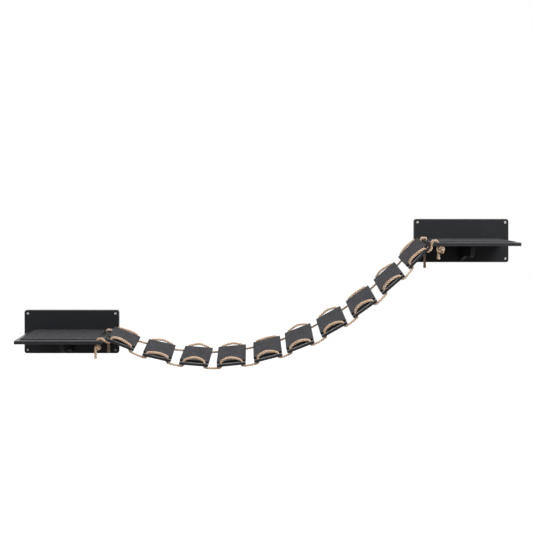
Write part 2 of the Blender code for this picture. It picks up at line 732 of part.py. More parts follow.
def least_gap(route, thick):
    """Least clear distance of a tube to itself, away from its own bend."""
    least = math.inf
    along = [0.0]
    for a, b in zip(route, route[1:]):
        along.append(along[-1] + (b - a).length)
    for i, a in enumerate(route):
        for j in range(i + 1, len(route)):
            if along[j] - along[i] > 1.5 * thick:
                least = min(least, (route[j] - a).length - thick)
    return least


def build_rope_ends(finish):
    """Four knotted rope ends, one at each shelf hole."""
    places = plank_places()
    for end in ENDS:
        for name, row in ROWS.items():
            route, thins, gap = rope_end(end, name, places)
            home = add_empty(f"{name}_{end}_edge", Matrix.Translation(edge_wrap(end, row)[-1]))
            rope(f"{name}_rope_{end}_end", route, finish, home, thins)
            print(f"{name} {end} knot: least gap to itself {gap / MM:.2f} mm")


def hang_depth(place):
    """How deep a plank hangs under the straight line between the shelves' edges."""
    lower, upper = (shelf_corner(end) for end in ENDS)
    line = Vector((upper[0] - lower[0], 0, upper[1] - lower[1])).normalized()
    arm = place.translation - Vector((lower[0], place.translation.y, lower[1]))
    return (arm - line * arm.dot(line)).length


def sway_shares(places):
    """How far each swinging group goes sideways, as a share of the middle ones."""
    depths = [sum(hang_depth(places[number]) for number in group) / len(group) for group in SWING_GROUPS]
    middle = len(SWING_GROUPS) // 2
    most = (depths[middle - 1] + depths[middle]) / 2
    shares = [depth / most for depth in depths]
    shares[middle - 1] = shares[middle] = 1
    return shares


def build_bridge(finishes):
    """Two chains of swinging groups, one from each shelf, that meet in the middle of the bridge.

    A group is a length of each rope with the planks on it. It slides sideways on the group before it, and
    each plank rocks on its group's ropes.
    """
    places = plank_places()
    middle = len(SWING_GROUPS) // 2
    order = [*range(middle), *reversed(range(middle, len(SWING_GROUPS)))]
    swings = {}
    for index in order:
        group = SWING_GROUPS[index]
        label = "_".join(f"{number + 1:02d}" for number in group)
        before = swings.get(index - 1 if index < middle else index + 1)
        start = edge_wrap("lower" if index < middle else "upper", 0)[-1]
        if before:
            start = gap_middle(places[max(group[0], 1) - 1], places[group[0]], 0)
        if before and index >= middle:
            start = gap_middle(places[group[-1]], places[group[-1] + 1], 0)
        swings[index] = add_empty("sway_" + label, Matrix.Translation(start), before)
        for name in ROWS:
            rope(f"{name}_rope_{label}", swing_route(places, group, name), finishes["rope"], swings[index])
        for number in group:
            rock = add_empty(f"rock_{number + 1:02d}", places[number], swings[index])
            build_plank(f"{number + 1:02d}", finishes, rock)
    report_joints(places)


def build_plank(label, finishes, rock):
    """One board with four rope holes, and the pad glued on it."""
    board_size = (PLANK_LENGTH, PLANK_WIDTH, PLANK_THICKNESS)
    board = slab("plank_board_" + label, board_size, PLANK_CORNER, PLANK_EDGE, finishes["board"], rock)
    board.location = (0, 0, -HALF_BOARD)
    holes = bmesh.new()
    for side in (-1, 1):
        for row in ROWS.values():
            spot = Matrix.Translation((side * HALF_HOLES, row * ROPE_ROW, 0))
            drill(holes, spot, ROPE_HOLE / 2, -PLANK_THICKNESS, PLANK_THICKNESS)
    cut(board, holes)
    pad_size = (PLANK_LENGTH, PAD_WIDTH, PAD_THICKNESS)
    pad = slab("plank_pad_" + label, pad_size, PAD_CORNER, PAD_EDGE, finishes["mat"], rock)
    pad.location = (0, 0, HALF_BOARD + SEAT_GAP)


def report_joints(places):
    """Print what the record states of the joints."""
    shares = sway_shares(places)
    middle = len(shares) // 2
    steps = [shares[0], *(b - a for a, b in zip(shares, shares[1:middle]))]
    steps += [*(a - b for a, b in zip(shares[middle:], shares[middle + 1 :])), shares[-1]]
    ratios = [round(step / steps[0], 4) for step in steps]
    print(f"sway shares {[round(share, 4) for share in shares]}, steps to the first {ratios}")
    for number, place in enumerate(places):
        across = place.to_3x3() @ Vector((0, 1, 0))
        spot, axis = ([round(value, 6) for value in item] for item in (place.translation, across))
        print(f"rock_{number + 1:02d} at {spot} axis {axis} depth {hang_depth(place) / MM:.1f} mm")


def build():
    """Clear the scene and build every piece."""
    for old in list(bpy.data.objects):
        bpy.data.objects.remove(old, do_unlink=True)
    finishes = {
        "board": material("black_board", (0.016, 0.017, 0.02), 0.42),
        "mat": material("grey_mat", (0.07, 0.07, 0.075), 0.95),
        "rope": material("jute_rope", (0.68, 0.5, 0.34), 0.9),
        "steel": material("screw_steel", (0.62, 0.62, 0.6), 0.3, 1.0),
    }
    for end in ENDS:
        build_wall_unit(end, finishes)
    build_rope_ends(finishes["rope"])
    build_bridge(finishes)


build()
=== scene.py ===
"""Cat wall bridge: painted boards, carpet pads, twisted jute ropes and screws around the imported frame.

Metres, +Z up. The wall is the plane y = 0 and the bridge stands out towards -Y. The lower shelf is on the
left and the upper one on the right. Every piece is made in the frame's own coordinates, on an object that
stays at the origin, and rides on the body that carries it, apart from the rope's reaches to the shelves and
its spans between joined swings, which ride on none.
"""

from __future__ import annotations

import json
import logging
import math
from dataclasses import dataclass, field
from enum import Enum
from functools import partial
from typing import Any, Callable, ClassVar, Iterable, Mapping, Sequence, Union

import bmesh
import bpy
from mathutils import Matrix, Vector, noise

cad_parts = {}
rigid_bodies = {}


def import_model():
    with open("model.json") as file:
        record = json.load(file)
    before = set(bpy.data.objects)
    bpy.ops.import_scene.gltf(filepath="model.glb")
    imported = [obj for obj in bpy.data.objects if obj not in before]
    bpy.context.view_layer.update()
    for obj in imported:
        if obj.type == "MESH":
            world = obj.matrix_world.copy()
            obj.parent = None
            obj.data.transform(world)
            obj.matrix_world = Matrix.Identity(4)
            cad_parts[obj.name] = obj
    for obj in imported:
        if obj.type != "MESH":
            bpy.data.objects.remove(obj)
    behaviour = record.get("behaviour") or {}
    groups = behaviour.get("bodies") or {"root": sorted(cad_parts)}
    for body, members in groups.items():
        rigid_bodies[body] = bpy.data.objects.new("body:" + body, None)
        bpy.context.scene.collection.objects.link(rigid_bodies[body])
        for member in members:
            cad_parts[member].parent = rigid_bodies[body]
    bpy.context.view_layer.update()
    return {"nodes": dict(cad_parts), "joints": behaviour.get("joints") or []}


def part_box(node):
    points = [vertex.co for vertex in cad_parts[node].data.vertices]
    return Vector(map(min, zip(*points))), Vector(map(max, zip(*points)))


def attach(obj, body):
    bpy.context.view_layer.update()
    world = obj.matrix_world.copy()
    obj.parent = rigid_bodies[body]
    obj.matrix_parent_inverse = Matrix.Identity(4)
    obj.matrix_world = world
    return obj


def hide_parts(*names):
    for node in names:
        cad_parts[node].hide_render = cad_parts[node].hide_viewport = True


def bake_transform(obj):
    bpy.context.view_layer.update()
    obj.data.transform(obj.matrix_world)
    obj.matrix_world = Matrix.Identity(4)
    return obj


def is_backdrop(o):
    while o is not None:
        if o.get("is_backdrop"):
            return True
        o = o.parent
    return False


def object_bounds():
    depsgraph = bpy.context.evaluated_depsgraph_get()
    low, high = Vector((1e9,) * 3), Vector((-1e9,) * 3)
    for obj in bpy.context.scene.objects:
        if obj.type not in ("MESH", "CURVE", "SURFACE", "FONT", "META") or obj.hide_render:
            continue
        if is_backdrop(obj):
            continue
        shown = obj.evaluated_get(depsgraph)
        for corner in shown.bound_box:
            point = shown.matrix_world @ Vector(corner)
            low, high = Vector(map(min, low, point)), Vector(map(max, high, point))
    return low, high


log = logging.getLogger("cat_wall_bridge")

MM = 0.001
ROOT_BODY = "wall_units"
RIM_VALUE = "rim"
GROOVE_VALUE = "groove"
ROPE_MAP = "rope_map"
NOISE_MIDDLE = 0.5
SHARPEST_SHARE = 0.1
WHITE = (1.0, 1.0, 1.0)
BLACK = (0.0, 0.0, 0.0)

Colour = tuple[float, float, float]
Place = tuple[float, float, float]
Span = tuple[float, float]
Route = tuple[tuple[float, float], ...]
Outline = Callable[[float], list[Vector]]
Operand = Union["Value", float, Sequence[float]]
Ring = Sequence[bmesh.types.BMVert]


# Names


class Pair(Enum):
    """One of two, as the word that starts its node names and its sign along an axis."""

    @property
    def label(self) -> str:
        """The word."""
        return self.value[0]

    @property
    def side(self) -> int:
        """The sign."""
        return self.value[1]


class End(Pair):
    """The bridge's two ends, with the way from each shelf towards the bridge along X."""

    LOWER = ("lower", 1)
    UPPER = ("upper", -1)


class Row(Pair):
    """The two ropes, with the side of the planks along Y that each runs on."""

    NEAR = ("near", -1)
    FAR = ("far", 1)


class Slot(Enum):
    """The record's material slots."""

    BOARD = "black_board"
    MAT = "grey_mat"
    ROPE = "jute_rope"
    STEEL = "screw_steel"


# Shader expressions


class Value:
    """An output socket that takes part in Python sums: each operator adds one Math node."""

    def __init__(self, graph: Graph, socket: bpy.types.NodeSocket) -> None:
        """Keep a tree and one of its output sockets."""
        self.graph = graph
        self.socket = socket

    def _math(self, operation: str, *operands: Operand) -> Value:
        """A Math node's result, from its operation and its inputs in order."""
        return self.graph.node("ShaderNodeMath", {"operation": operation}, dict(enumerate(operands)))

    def __add__(self, other: Operand) -> Value:
        """Sum."""
        return self._math("ADD", self, other)

    def __radd__(self, other: Operand) -> Value:
        """Sum, reflected."""
        return self._math("ADD", other, self)

    def __sub__(self, other: Operand) -> Value:
        """Difference."""
        return self._math("SUBTRACT", self, other)

    def __rsub__(self, other: Operand) -> Value:
        """Difference, reflected."""
        return self._math("SUBTRACT", other, self)

    def __mul__(self, other: Operand) -> Value:
        """Product."""
        return self._math("MULTIPLY", self, other)

    def __rmul__(self, other: Operand) -> Value:
        """Product, reflected."""
        return self._math("MULTIPLY", other, self)

    def between(self, low: float, high: float) -> Value:
        """Smooth step from 0 at the low value to 1 at the high one."""
        values = {"Value": self, "From Min": low, "From Max": high}
        return self.graph.node("ShaderNodeMapRange", {"interpolation_type": "SMOOTHSTEP"}, values)


class Graph:
    """A node tree that takes its nodes and links from expressions."""

    def __init__(self, tree: bpy.types.NodeTree) -> None:
        """Keep the tree of a material or of the world."""
        self.tree = tree

    def feed(self, socket: bpy.types.NodeSocket, value: Operand) -> None:
        """Link or set one input.

        Args:
            socket: The input socket.
            value: What goes in: another node's result, a number, a vector or a colour.
        """
        if isinstance(value, Value):
            self.tree.links.new(value.socket, socket)
        elif isinstance(value, (int, float)):
            socket.default_value = value
        else:
            socket.default_value = (*value, 1.0)[: len(socket.default_value)]

    def node(
        self,
        kind: str,
        settings: Mapping[str, Any] | None = None,
        values: Mapping[Any, Operand] | None = None,
        output: int | str = 0,
    ) -> Value:
        """Add any node.

        Args:
            kind: The node's type.
            settings: Its properties, set first.
            values: Values or links for its inputs, by name or number.
            output: The output to use.

        Returns:
            That output.
        """
        made = self.tree.nodes.new(kind)
        for key, setting in (settings or {}).items():
            setattr(made, key, setting)
        for key, value in (values or {}).items():
            self.feed(made.inputs[key], value)
        return Value(self, made.outputs[output])


class Surface(Graph):
    """One material's node tree, with its Principled shader."""

    def __init__(self, name: str) -> None:
        """Start a material.

        Args:
            name: The material's name.
        """
        self.material = bpy.data.materials.new(name)
        self.material.use_nodes = True
        super().__init__(self.material.node_tree)
        self.shader = self.tree.nodes["Principled BSDF"]

    def position(self) -> Value:
        """Place of the shaded point on its own object."""
        return self.node("ShaderNodeTexCoord", output="Object")

    def attribute(self, name: str) -> Value:
        """A number that the mesh carries under a name."""
        return self.node("ShaderNodeAttribute", {"attribute_name": name}, output="Fac")

    def stretched(self, where: Value, scales: Sequence[float]) -> Value:
        """A place with each coordinate scaled by its own factor."""
        return self.node("ShaderNodeVectorMath", {"operation": "MULTIPLY"}, {0: where, 1: scales})

    def clouds(self, where: Value, scale: float, detail: float = 2.0) -> Value:
        """Soft noise from 0 to 1, from its place, its features per metre and its octaves."""
        return self.node("ShaderNodeTexNoise", {}, {"Vector": where, "Scale": scale, "Detail": detail})

    def blend(self, factor: Operand, low: Operand, high: Operand) -> Value:
        """Mix of two colours: the low one where the factor is 0, the high one where it is 1."""
        # Inputs 6 and 7 and output 2 are the colour ones.
        return self.node("ShaderNodeMix", {"data_type": "RGBA"}, {0: factor, 6: low, 7: high}, output=2)

    def bump(self, height: Value, distance: float, strength: float = 1.0) -> Value:
        """A normal from a height of 0 to 1, how many metres high 1 is, and how much of it shows."""
        return self.node("ShaderNodeBump", {}, {"Strength": strength, "Distance": distance, "Height": height})

    def finish(self, **inputs: Operand) -> bpy.types.Material:
        """Set the shader's inputs.

        Args:
            inputs: Values or links by the socket's name, with _ for a space.

        Returns:
            The material.
        """
        for key, value in inputs.items():
            self.feed(self.shader.inputs[key.replace("_", " ")], value)
        return self.material


# Finishes


@dataclass(frozen=True)
class PaintedBoard:
    """Satin black paint on board: a faint roller texture, edges rubbed paler by wear, and painted light: the
    rounded edges lighter as a painted highlight and the sides lighter as if lit.
    """

    name: str = "black_satin_paint"
    colour: Colour = (0.0165, 0.0175, 0.021)
    # Paler colour for rubbed wear and for painted light on the edges and sides
    worn_and_lit: Colour = (0.06, 0.06, 0.065)
    shine: float = 0.5
    roughness: float = 0.36
    roughness_change: float = 0.1
    rubbed_roughness: float = 0.12
    roller_scale: float = 950.0
    smear_scale: float = 22.0
    roller_octaves: float = 1.0
    smear_octaves: float = 4.0
    rub_base: float = 0.4
    rub_grain: float = 0.35
    rub_range: Span = (0.55, 0.95)
    rubbed_share: float = 0.6
    # How much the rim value alone lightens the edges and sides: painted light
    edge_light_share: float = 0.3
    smear_share: float = 0.06
    bump_depth: float = 0.06 * MM
    bump_strength: float = 0.5

    def material(self) -> bpy.types.Material:
        """Build the material.

        Returns:
            The material.
        """
        graph = Surface(self.name)
        where = graph.position()
        rim = graph.attribute(RIM_VALUE)
        smears = graph.clouds(where, self.smear_scale, self.smear_octaves)
        grains = graph.clouds(where, self.roller_scale, self.roller_octaves)
        uneven = smears - NOISE_MIDDLE
        rubs = rim * (self.rub_base + smears) + (grains - NOISE_MIDDLE) * self.rub_grain
        rubbed = rubs.between(*self.rub_range)
        # Rubbed wear, plus painted light: edges and sides lighter by the rim value alone
        pale = rubbed * self.rubbed_share + rim * self.edge_light_share + uneven * self.smear_share
        return graph.finish(
            Base_Color=graph.blend(pale, self.colour, self.worn_and_lit),
            Roughness=self.roughness + uneven * self.roughness_change + rubbed * self.rubbed_roughness,
            Specular_IOR_Level=self.shine,
            Normal=graph.bump(grains, self.bump_depth, self.bump_strength),
        )


@dataclass(frozen=True)
class Carpet:
    """Short needled carpet: mottled grey fibres, sides painted darker as shade, and a soft sheen."""

    name: str = "dark_grey_carpet"
    dark: Colour = (0.012, 0.0118, 0.0135)
    light: Colour = (0.05, 0.0487, 0.055)
    # Painted shade: the darker colour of the pad's sides
    edge: Colour = (0.0075, 0.0075, 0.0085)
    roughness: float = 0.95
    shine: float = 0.15
    sheen: float = 0.1
    sheen_roughness: float = 0.5
    sheen_tint: Colour = (0.6, 0.6, 0.65)
    fibre_scale: float = 1500.0
    tuft_scale: float = 420.0
    mottle_scale: float = 170.0
    patch_scale: float = 30.0
    fibre_octaves: float = 3.0
    tuft_share: float = 0.6
    height_gain: float = 1.3
    patch_gain: float = 0.35
    mottle_gain: float = 0.9
    shade_range: Span = (0.35, 0.95)
    # How far the sides are painted darker as shade
    side_shade_share: float = 0.75
    bump_depth: float = 0.7 * MM

    def material(self) -> bpy.types.Material:
        """Build the material.

        Returns:
            The material.
        """
        graph = Surface(self.name)
        where = graph.position()
        fibres = graph.clouds(where, self.fibre_scale, self.fibre_octaves)
        tufts = graph.clouds(where, self.tuft_scale)
        patches = graph.clouds(where, self.patch_scale) - NOISE_MIDDLE
        mottles = graph.clouds(where, self.mottle_scale) - NOISE_MIDDLE
        height = tufts * self.tuft_share + fibres * (1 - self.tuft_share)
        tone = height * self.height_gain + patches * self.patch_gain + mottles * self.mottle_gain
        pile = graph.blend(tone.between(*self.shade_range), self.dark, self.light)
        # Painted shade: where the rim value is 1, down the pad's sides, the pile darkens
        return graph.finish(
            Base_Color=graph.blend(graph.attribute(RIM_VALUE) * self.side_shade_share, pile, self.edge),
            Roughness=self.roughness,
            Specular_IOR_Level=self.shine,
            Sheen_Weight=self.sheen,
            Sheen_Roughness=self.sheen_roughness,
            Sheen_Tint=self.sheen_tint,
            Normal=graph.bump(height, self.bump_depth),
        )


@dataclass(frozen=True)
class JuteRope:
    """Natural jute: fine fibres along the rope, with painted shade darkening the grooves between the strands.
    """

    name: str = "natural_jute"
    pale: Colour = (0.78, 0.575, 0.41)
    tan: Colour = (0.54, 0.355, 0.225)
    # Painted shade: the dark brown laid into the grooves between the strands
    groove: Colour = (0.14, 0.068, 0.036)
    roughness: float = 0.88
    sheen: float = 0.25
    sheen_roughness: float = 0.4
    sheen_tint: Colour = (1.0, 0.9, 0.78)
    along_scale: float = 110.0
    around_scale: float = 2600.0
    patch_scale: float = 45.0
    octaves: float = 3.0
    fibre_gain: float = 0.8
    patch_gain: float = 0.5
    tone_range: Span = (0.4, 0.85)
    groove_shade_range: Span = (0.35, 1.0)
    groove_shade_share: float = 0.85
    bump_depth: float = 0.35 * MM
    bump_strength: float = 0.8

    def material(self) -> bpy.types.Material:
        """Build the material.

        Returns:
            The material.
        """
        graph = Surface(self.name)
        around = graph.node("ShaderNodeUVMap", {"uv_map": ROPE_MAP})
        spread = graph.stretched(around, (self.along_scale, self.around_scale, 1.0))
        fibres = graph.clouds(spread, 1.0, self.octaves)
        patches = graph.clouds(graph.position(), self.patch_scale, self.octaves)
        tone = (fibres * self.fibre_gain + patches * self.patch_gain).between(*self.tone_range)
        strands = graph.blend(tone, self.tan, self.pale)
        # Painted shade: the grooves between the strands darken towards the shade colour
        groove_shade_mask = graph.attribute(GROOVE_VALUE).between(*self.groove_shade_range) * self.groove_shade_share
        return graph.finish(
            Base_Color=graph.blend(groove_shade_mask, strands, self.groove),
            Roughness=self.roughness,
            Sheen_Weight=self.sheen,
            Sheen_Roughness=self.sheen_roughness,
            Sheen_Tint=self.sheen_tint,
            Normal=graph.bump(fibres, self.bump_depth, self.bump_strength),
        )


@dataclass(frozen=True)
class ZincSteel:
    """Bright zinc-plated steel with fine turned scratches."""

    name: str = "zinc_plated_steel"
    colour: Colour = (0.6, 0.6, 0.565)
    stained: Colour = (0.42, 0.415, 0.39)
    metallic: float = 0.5
    roughness: float = 0.38
    scratch_roughness: float = 0.16
    stain_scale: float = 260.0
    stain_octaves: float = 4.0
    stain_range: Span = (0.55, 0.8)
    scratch_scales: Place = (900.0, 900.0, 5200.0)
    bump_depth: float = 0.02 * MM
    bump_strength: float = 0.4

    def material(self) -> bpy.types.Material:
        """Build the material.

        Returns:
            The material.
        """
        graph = Surface(self.name)
        where = graph.position()
        stains = graph.clouds(where, self.stain_scale, self.stain_octaves).between(*self.stain_range)
        scratches = graph.clouds(graph.stretched(where, self.scratch_scales), 1.0)
        return graph.finish(
            Base_Color=graph.blend(stains, self.colour, self.stained),
            Metallic=self.metallic,
            Roughness=self.roughness + scratches * self.scratch_roughness,
            Normal=graph.bump(scratches, self.bump_depth, self.bump_strength),
        )


@dataclass(frozen=True)
class PaleFloor:
    """Pale studio floor that the camera sees brighter than it lights the object."""

    name: str = "pale_floor"
    colour: Colour = (0.13, 0.13, 0.13)
    roughness: float = 0.9
    glow: float = 0.95
    grain_scale: float = 3.0
    grain_share: float = 0.04

    def material(self) -> bpy.types.Material:
        """Build the material.

        Returns:
            The material.
        """
        graph = Surface(self.name)
        seen = graph.node("ShaderNodeLightPath", output="Is Camera Ray")
        grain = graph.clouds(graph.position(), self.grain_scale)
        return graph.finish(
            Base_Color=graph.blend(grain * self.grain_share, self.colour, WHITE),
            Roughness=self.roughness,
            Emission_Color=graph.blend(seen * self.glow, BLACK, WHITE),
            Emission_Strength=1.0,
        )


FINISHES = {Slot.BOARD: PaintedBoard(), Slot.MAT: Carpet(), Slot.ROPE: JuteRope(), Slot.STEEL: ZincSteel()}


# Meshes


def link(name: str, data: bpy.types.ID) -> bpy.types.Object:
    """Put an object in the scene, at the origin.

    Args:
        name: Its name.
        data: Its mesh, light or camera.

    Returns:
        The object.
    """
    made = bpy.data.objects.new(name, data)
    bpy.context.scene.collection.objects.link(made)
    return made


def add_piece(name: str, mesh: bpy.types.Mesh, slot: Slot, *nodes: str) -> bpy.types.Object:
    """Add a mesh as a piece in place of the frame's nodes.

    Args:
        name: The piece's name.
        mesh: Its mesh, in the frame's coordinates.
        slot: Its slot.
        nodes: The nodes that it stands for.

    Returns:
        The piece.
    """
    piece = link(name, mesh)
    mesh.materials.append(bpy.data.materials[FINISHES[slot].name])
    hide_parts(*nodes)
    log.info("%s: %d faces", name, len(mesh.polygons))
    return piece


class Shape:
    """A mesh in the making, whose vertices each carry one number."""

    def __init__(self, value_name: str) -> None:
        """Start an empty shape, whose vertices' number has the given name."""
        self.mesh = bmesh.new()
        self.layer = self.mesh.verts.layers.float.new(value_name)

    def vertex(self, point: Sequence[float], value: float = 0.0) -> bmesh.types.BMVert:
        """Add a vertex.

        Args:
            point: Its place.
            value: Its number.

        Returns:
            The vertex.
        """
        made = self.mesh.verts.new(point)
        made[self.layer] = value
        return made

    def ring(self, points: Iterable[Sequence[float]], value: float = 0.0) -> list[bmesh.types.BMVert]:
        """Vertices at the points, with one number for all."""
        return [self.vertex(point, value) for point in points]

    def bridge(self, *rings: Ring) -> list[bmesh.types.BMFace]:
        """Join closed rings of the same number of vertices, each to the next.

        Args:
            rings: The rings in order.

        Returns:
            The faces between them.
        """
        faces = []
        for low, high in zip(rings, rings[1:]):
            for step in range(len(low)):
                after = (step + 1) % len(low)
                faces.append(self.mesh.faces.new((low[step], low[after], high[after], high[step])))
        return faces

    def fill(self, *rings: Ring) -> None:
        """Fill the flat inside the first ring, round the others."""
        edges = [self.mesh.edges.get(ends) for ring in rings for ends in zip(ring, [*ring[1:], ring[0]])]
        bmesh.ops.triangle_fill(self.mesh, use_beauty=True, edges=edges)

    def done(self, name: str, place: Matrix | None = None, sharp: float = 35.0) -> bpy.types.Mesh:
        """Turn the shape into a smooth mesh that keeps its sharp edges.

        Args:
            name: The mesh's name.
            place: Where the shape stands, if it isn't in the frame's coordinates.
            sharp: The angle in degrees from which an edge is sharp.

        Returns:
            The mesh.
        """
        if place:
            bmesh.ops.transform(self.mesh, matrix=place, verts=self.mesh.verts)
        bmesh.ops.recalc_face_normals(self.mesh, faces=self.mesh.faces)
        mesh = bpy.data.meshes.new(name)
        self.mesh.to_mesh(mesh)
        self.mesh.free()
        mesh.shade_smooth()
        mesh.set_sharp_from_angle(angle=math.radians(sharp))
        return mesh


def circle(radius: float, height: float, steps: int, middle: Sequence[float] = (0.0, 0.0)) -> list[Vector]:
    """Points round a level circle."""
    x, y, turns = *middle, [2 * math.pi * step / steps for step in range(steps)]
    return [Vector((x + radius * math.cos(turn), y + radius * math.sin(turn), height)) for turn in turns]


def rounded(width: float, depth: float, corner: float, steps: int, inset: float) -> list[Vector]:
    """Points a little inside a rectangle with round corners.

    Args:
        width: Its size along X.
        depth: Its size along Y.
        corner: Its corners' radius, some of which is left at any inset.
        steps: Pieces of each corner's arc.
        inset: How far inside.

    Returns:
        The points.
    """
    radius = max(corner - inset, SHARPEST_SHARE * corner)
    points = []
    for quarter, (sx, sy) in enumerate(((1, 1), (-1, 1), (-1, -1), (1, -1))):
        middle = Vector((sx * (width / 2 - inset - radius), sy * (depth / 2 - inset - radius), 0))
        for step in range(steps + 1):
            angle = math.pi / 2 * (quarter + step / steps)
            points.append(middle + radius * Vector((math.cos(angle), math.sin(angle), 0)))
    return points


@dataclass(frozen=True)
class Hole:
    """A round hole through a panel; its profile is (radius, height) pairs from the underside up."""

    middle: Span
    profile: Route
    steps: int = 32


def straight_hole(middle: Span, radius: float, thickness: float, chamfer: float) -> Hole:
    """A hole through a panel of some thickness, with a small chamfer at both ends."""
    wide = radius + chamfer
    return Hole(middle, ((wide, 0.0), (radius, chamfer), (radius, thickness - chamfer), (wide, thickness)))


@dataclass(frozen=True)
class Panel:
    """A flat board with rounded edges and holes, standing on its own z = 0.

    The mesh carries a rim value: 1 on the rounded edges and in the holes, 0.5 down the sides, 0 on the flats.
    The paint lightens by it, partly as rubbed wear and partly as painted light.
    """

    outline: Outline
    thickness: float
    edge: float
    rim: float
    holes: tuple[Hole, ...] = ()

    edge_steps: int = 3
    # The rim value down the sides, which the paint turns into painted light there
    side_light_rim: float = 0.5
    side_share: float = 0.45

    def _levels(self) -> list[tuple[float, float, float]]:
        """The outline's rings from the underside to the top.

        Returns:
            The rings as (inset, height, rim value).
        """
        quarter = [math.pi / 2 * step / self.edge_steps for step in range(self.edge_steps + 1)]
        low = [(self.edge * (1 - math.sin(a)), self.edge * (1 - math.cos(a)), 1.0) for a in quarter]
        low.insert(0, (self.edge + self.rim, 0.0, 0.0))
        low.append((0.0, min(self.edge + self.rim, self.thickness * self.side_share), self.side_light_rim))
        return low + [(inset, self.thickness - height, rim) for inset, height, rim in reversed(low)]

    def mesh(self, name: str, place: Matrix) -> bpy.types.Mesh:
        """Build the board.

        Args:
            name: The mesh's name.
            place: Where the board stands.

        Returns:
            The mesh, in the frame's coordinates.
        """
        shape = Shape(RIM_VALUE)
        rings = [
            shape.ring((point + Vector((0, 0, height)) for point in self.outline(inset)), rim)
            for inset, height, rim in self._levels()
        ]
        shape.bridge(*rings)
        flats = [[rings[0]], [rings[-1]]]
        for hole in self.holes:
            walls = [shape.ring(circle(*level, hole.steps, hole.middle), 1.0) for level in hole.profile]
            shape.bridge(*walls)
            for flat, mouth in zip(flats, (walls[0], walls[-1])):
                flat.append(mouth)
                for vertex in mouth:
                    vertex[shape.layer] = 0.0
        for flat in flats:
            shape.fill(*flat)
        return shape.done(name, place)


@dataclass(frozen=True)
class CarpetPad:
    """A thick pad cut from carpet, with soft rounded edges and an uneven pile, standing on its own z = 0.

    The mesh carries a rim value: 1 down its cut sides, 0 on its top; the carpet paints shade on the sides by
    it.
    """

    width: float
    depth: float
    thickness: float

    round_off: float = 1.4 * MM
    round_shares: tuple[float, ...] = (0.0, 0.15, 0.4, 0.7, 1.0)
    side_shares: tuple[float, ...] = (0.66, 0.33, 0.0)
    spacing: float = 2.0 * MM
    tuft_height: float = 0.28 * MM
    tufts_per_mm: float = 0.42
    fibres_per_mm: float = 0.95
    fibre_share: float = 0.6
    tuft_sink: float = 0.4
    swell_height: float = 0.22 * MM
    swells_per_mm: float = 0.05
    swell_sink: float = 0.5
    sharp: float = 75.0

    def _lines(self, size: float) -> list[float]:
        """Grid places across one size, closer at the rounded edges.

        Args:
            size: The size.

        Returns:
            The places, from its middle.
        """
        soft = [self.round_off * share for share in self.round_shares]
        inner = size - 2 * self.round_off
        count = max(2, round(inner / self.spacing))
        middle = [self.round_off + inner * step / count for step in range(1, count)]
        return [place - size / 2 for place in (*soft, *middle, *(size - s for s in reversed(soft)))]

    def _top(self, x: float, y: float) -> Vector:
        """A point of the rounded top.

        Args:
            x: Its place on the grid along X.
            y: Its place along Y.

        Returns:
            The point.
        """
        r = self.round_off
        ex = max(abs(x) - (self.width / 2 - r), 0.0)
        ey = max(abs(y) - (self.depth / 2 - r), 0.0)
        out = math.hypot(ex, ey)
        if out > r:
            x -= math.copysign(ex * (1 - r / out), x)
            y -= math.copysign(ey * (1 - r / out), y)
            out = r
        return Vector((x, y, self.thickness - r + math.sqrt(max(r * r - out * out, 0.0))))

    def mesh(self, name: str, place: Matrix) -> bpy.types.Mesh:
        """Build the pad.

        Args:
            name: The mesh's name.
            place: Where the pad stands.

        Returns:
            The mesh, in the frame's coordinates.
        """
        shape = Shape(RIM_VALUE)
        xs, ys = self._lines(self.width), self._lines(self.depth)
        grid = [shape.ring(self._top(x, y) for y in ys) for x in xs]
        for row, after in zip(grid, grid[1:]):
            for step in range(len(ys) - 1):
                shape.mesh.faces.new((row[step], after[step], after[step + 1], row[step + 1]))
        border = [row[0] for row in grid] + grid[-1][1:] + [row[-1] for row in reversed(grid[:-1])]
        border += reversed(grid[0][1:-1])
        # The top's border starts the sides, which the carpet paints darker as shade
        for vertex in border:
            vertex[shape.layer] = 1.0
        levels = [(self.thickness - self.round_off) * share for share in self.side_shares]
        sides = [shape.ring(((v.co.x, v.co.y, level) for v in border), 1.0) for level in levels]
        shape.bridge(border, *sides)
        shape.mesh.faces.new(sides[-1])
        shape.mesh.normal_update()
        self._ruffle(shape, place)
        return shape.done(name, place, self.sharp)

    def _ruffle(self, shape: Shape, place: Matrix) -> None:
        """Move the top and sides in and out a little, as an uneven pile does.

        Args:
            shape: The pad, on its own z = 0.
            place: Where the pad stands, so that no two pads are alike.
        """
        moves = []
        for vertex in shape.mesh.verts:
            spot = vertex.co / MM + place.translation / MM
            tufts = noise.noise(spot * self.tufts_per_mm)
            tufts += self.fibre_share * noise.noise(spot * self.fibres_per_mm)
            swell = noise.noise(spot * self.swells_per_mm)
            lift = self.tuft_height * (tufts - self.tuft_sink) + self.swell_height * (swell - self.swell_sink)
            moves.append(vertex.normal * min(vertex.co.z / self.round_off, 1.0) * lift)
        for vertex, move in zip(shape.mesh.verts, moves):
            vertex.co += move


# The ropes' line


@dataclass(frozen=True)
class Stop:
    """A point of a rope's line, the share of the full radius there, and a name for a place to cut."""

    point: Vector
    girth: float = 1.0
    mark: str = ""


@dataclass(frozen=True)
class Section:
    """One cross-section of a rope: its middle, its two directions, its radius and its length along."""

    middle: Vector
    side: Vector
    up: Vector
    radius: float
    along: float


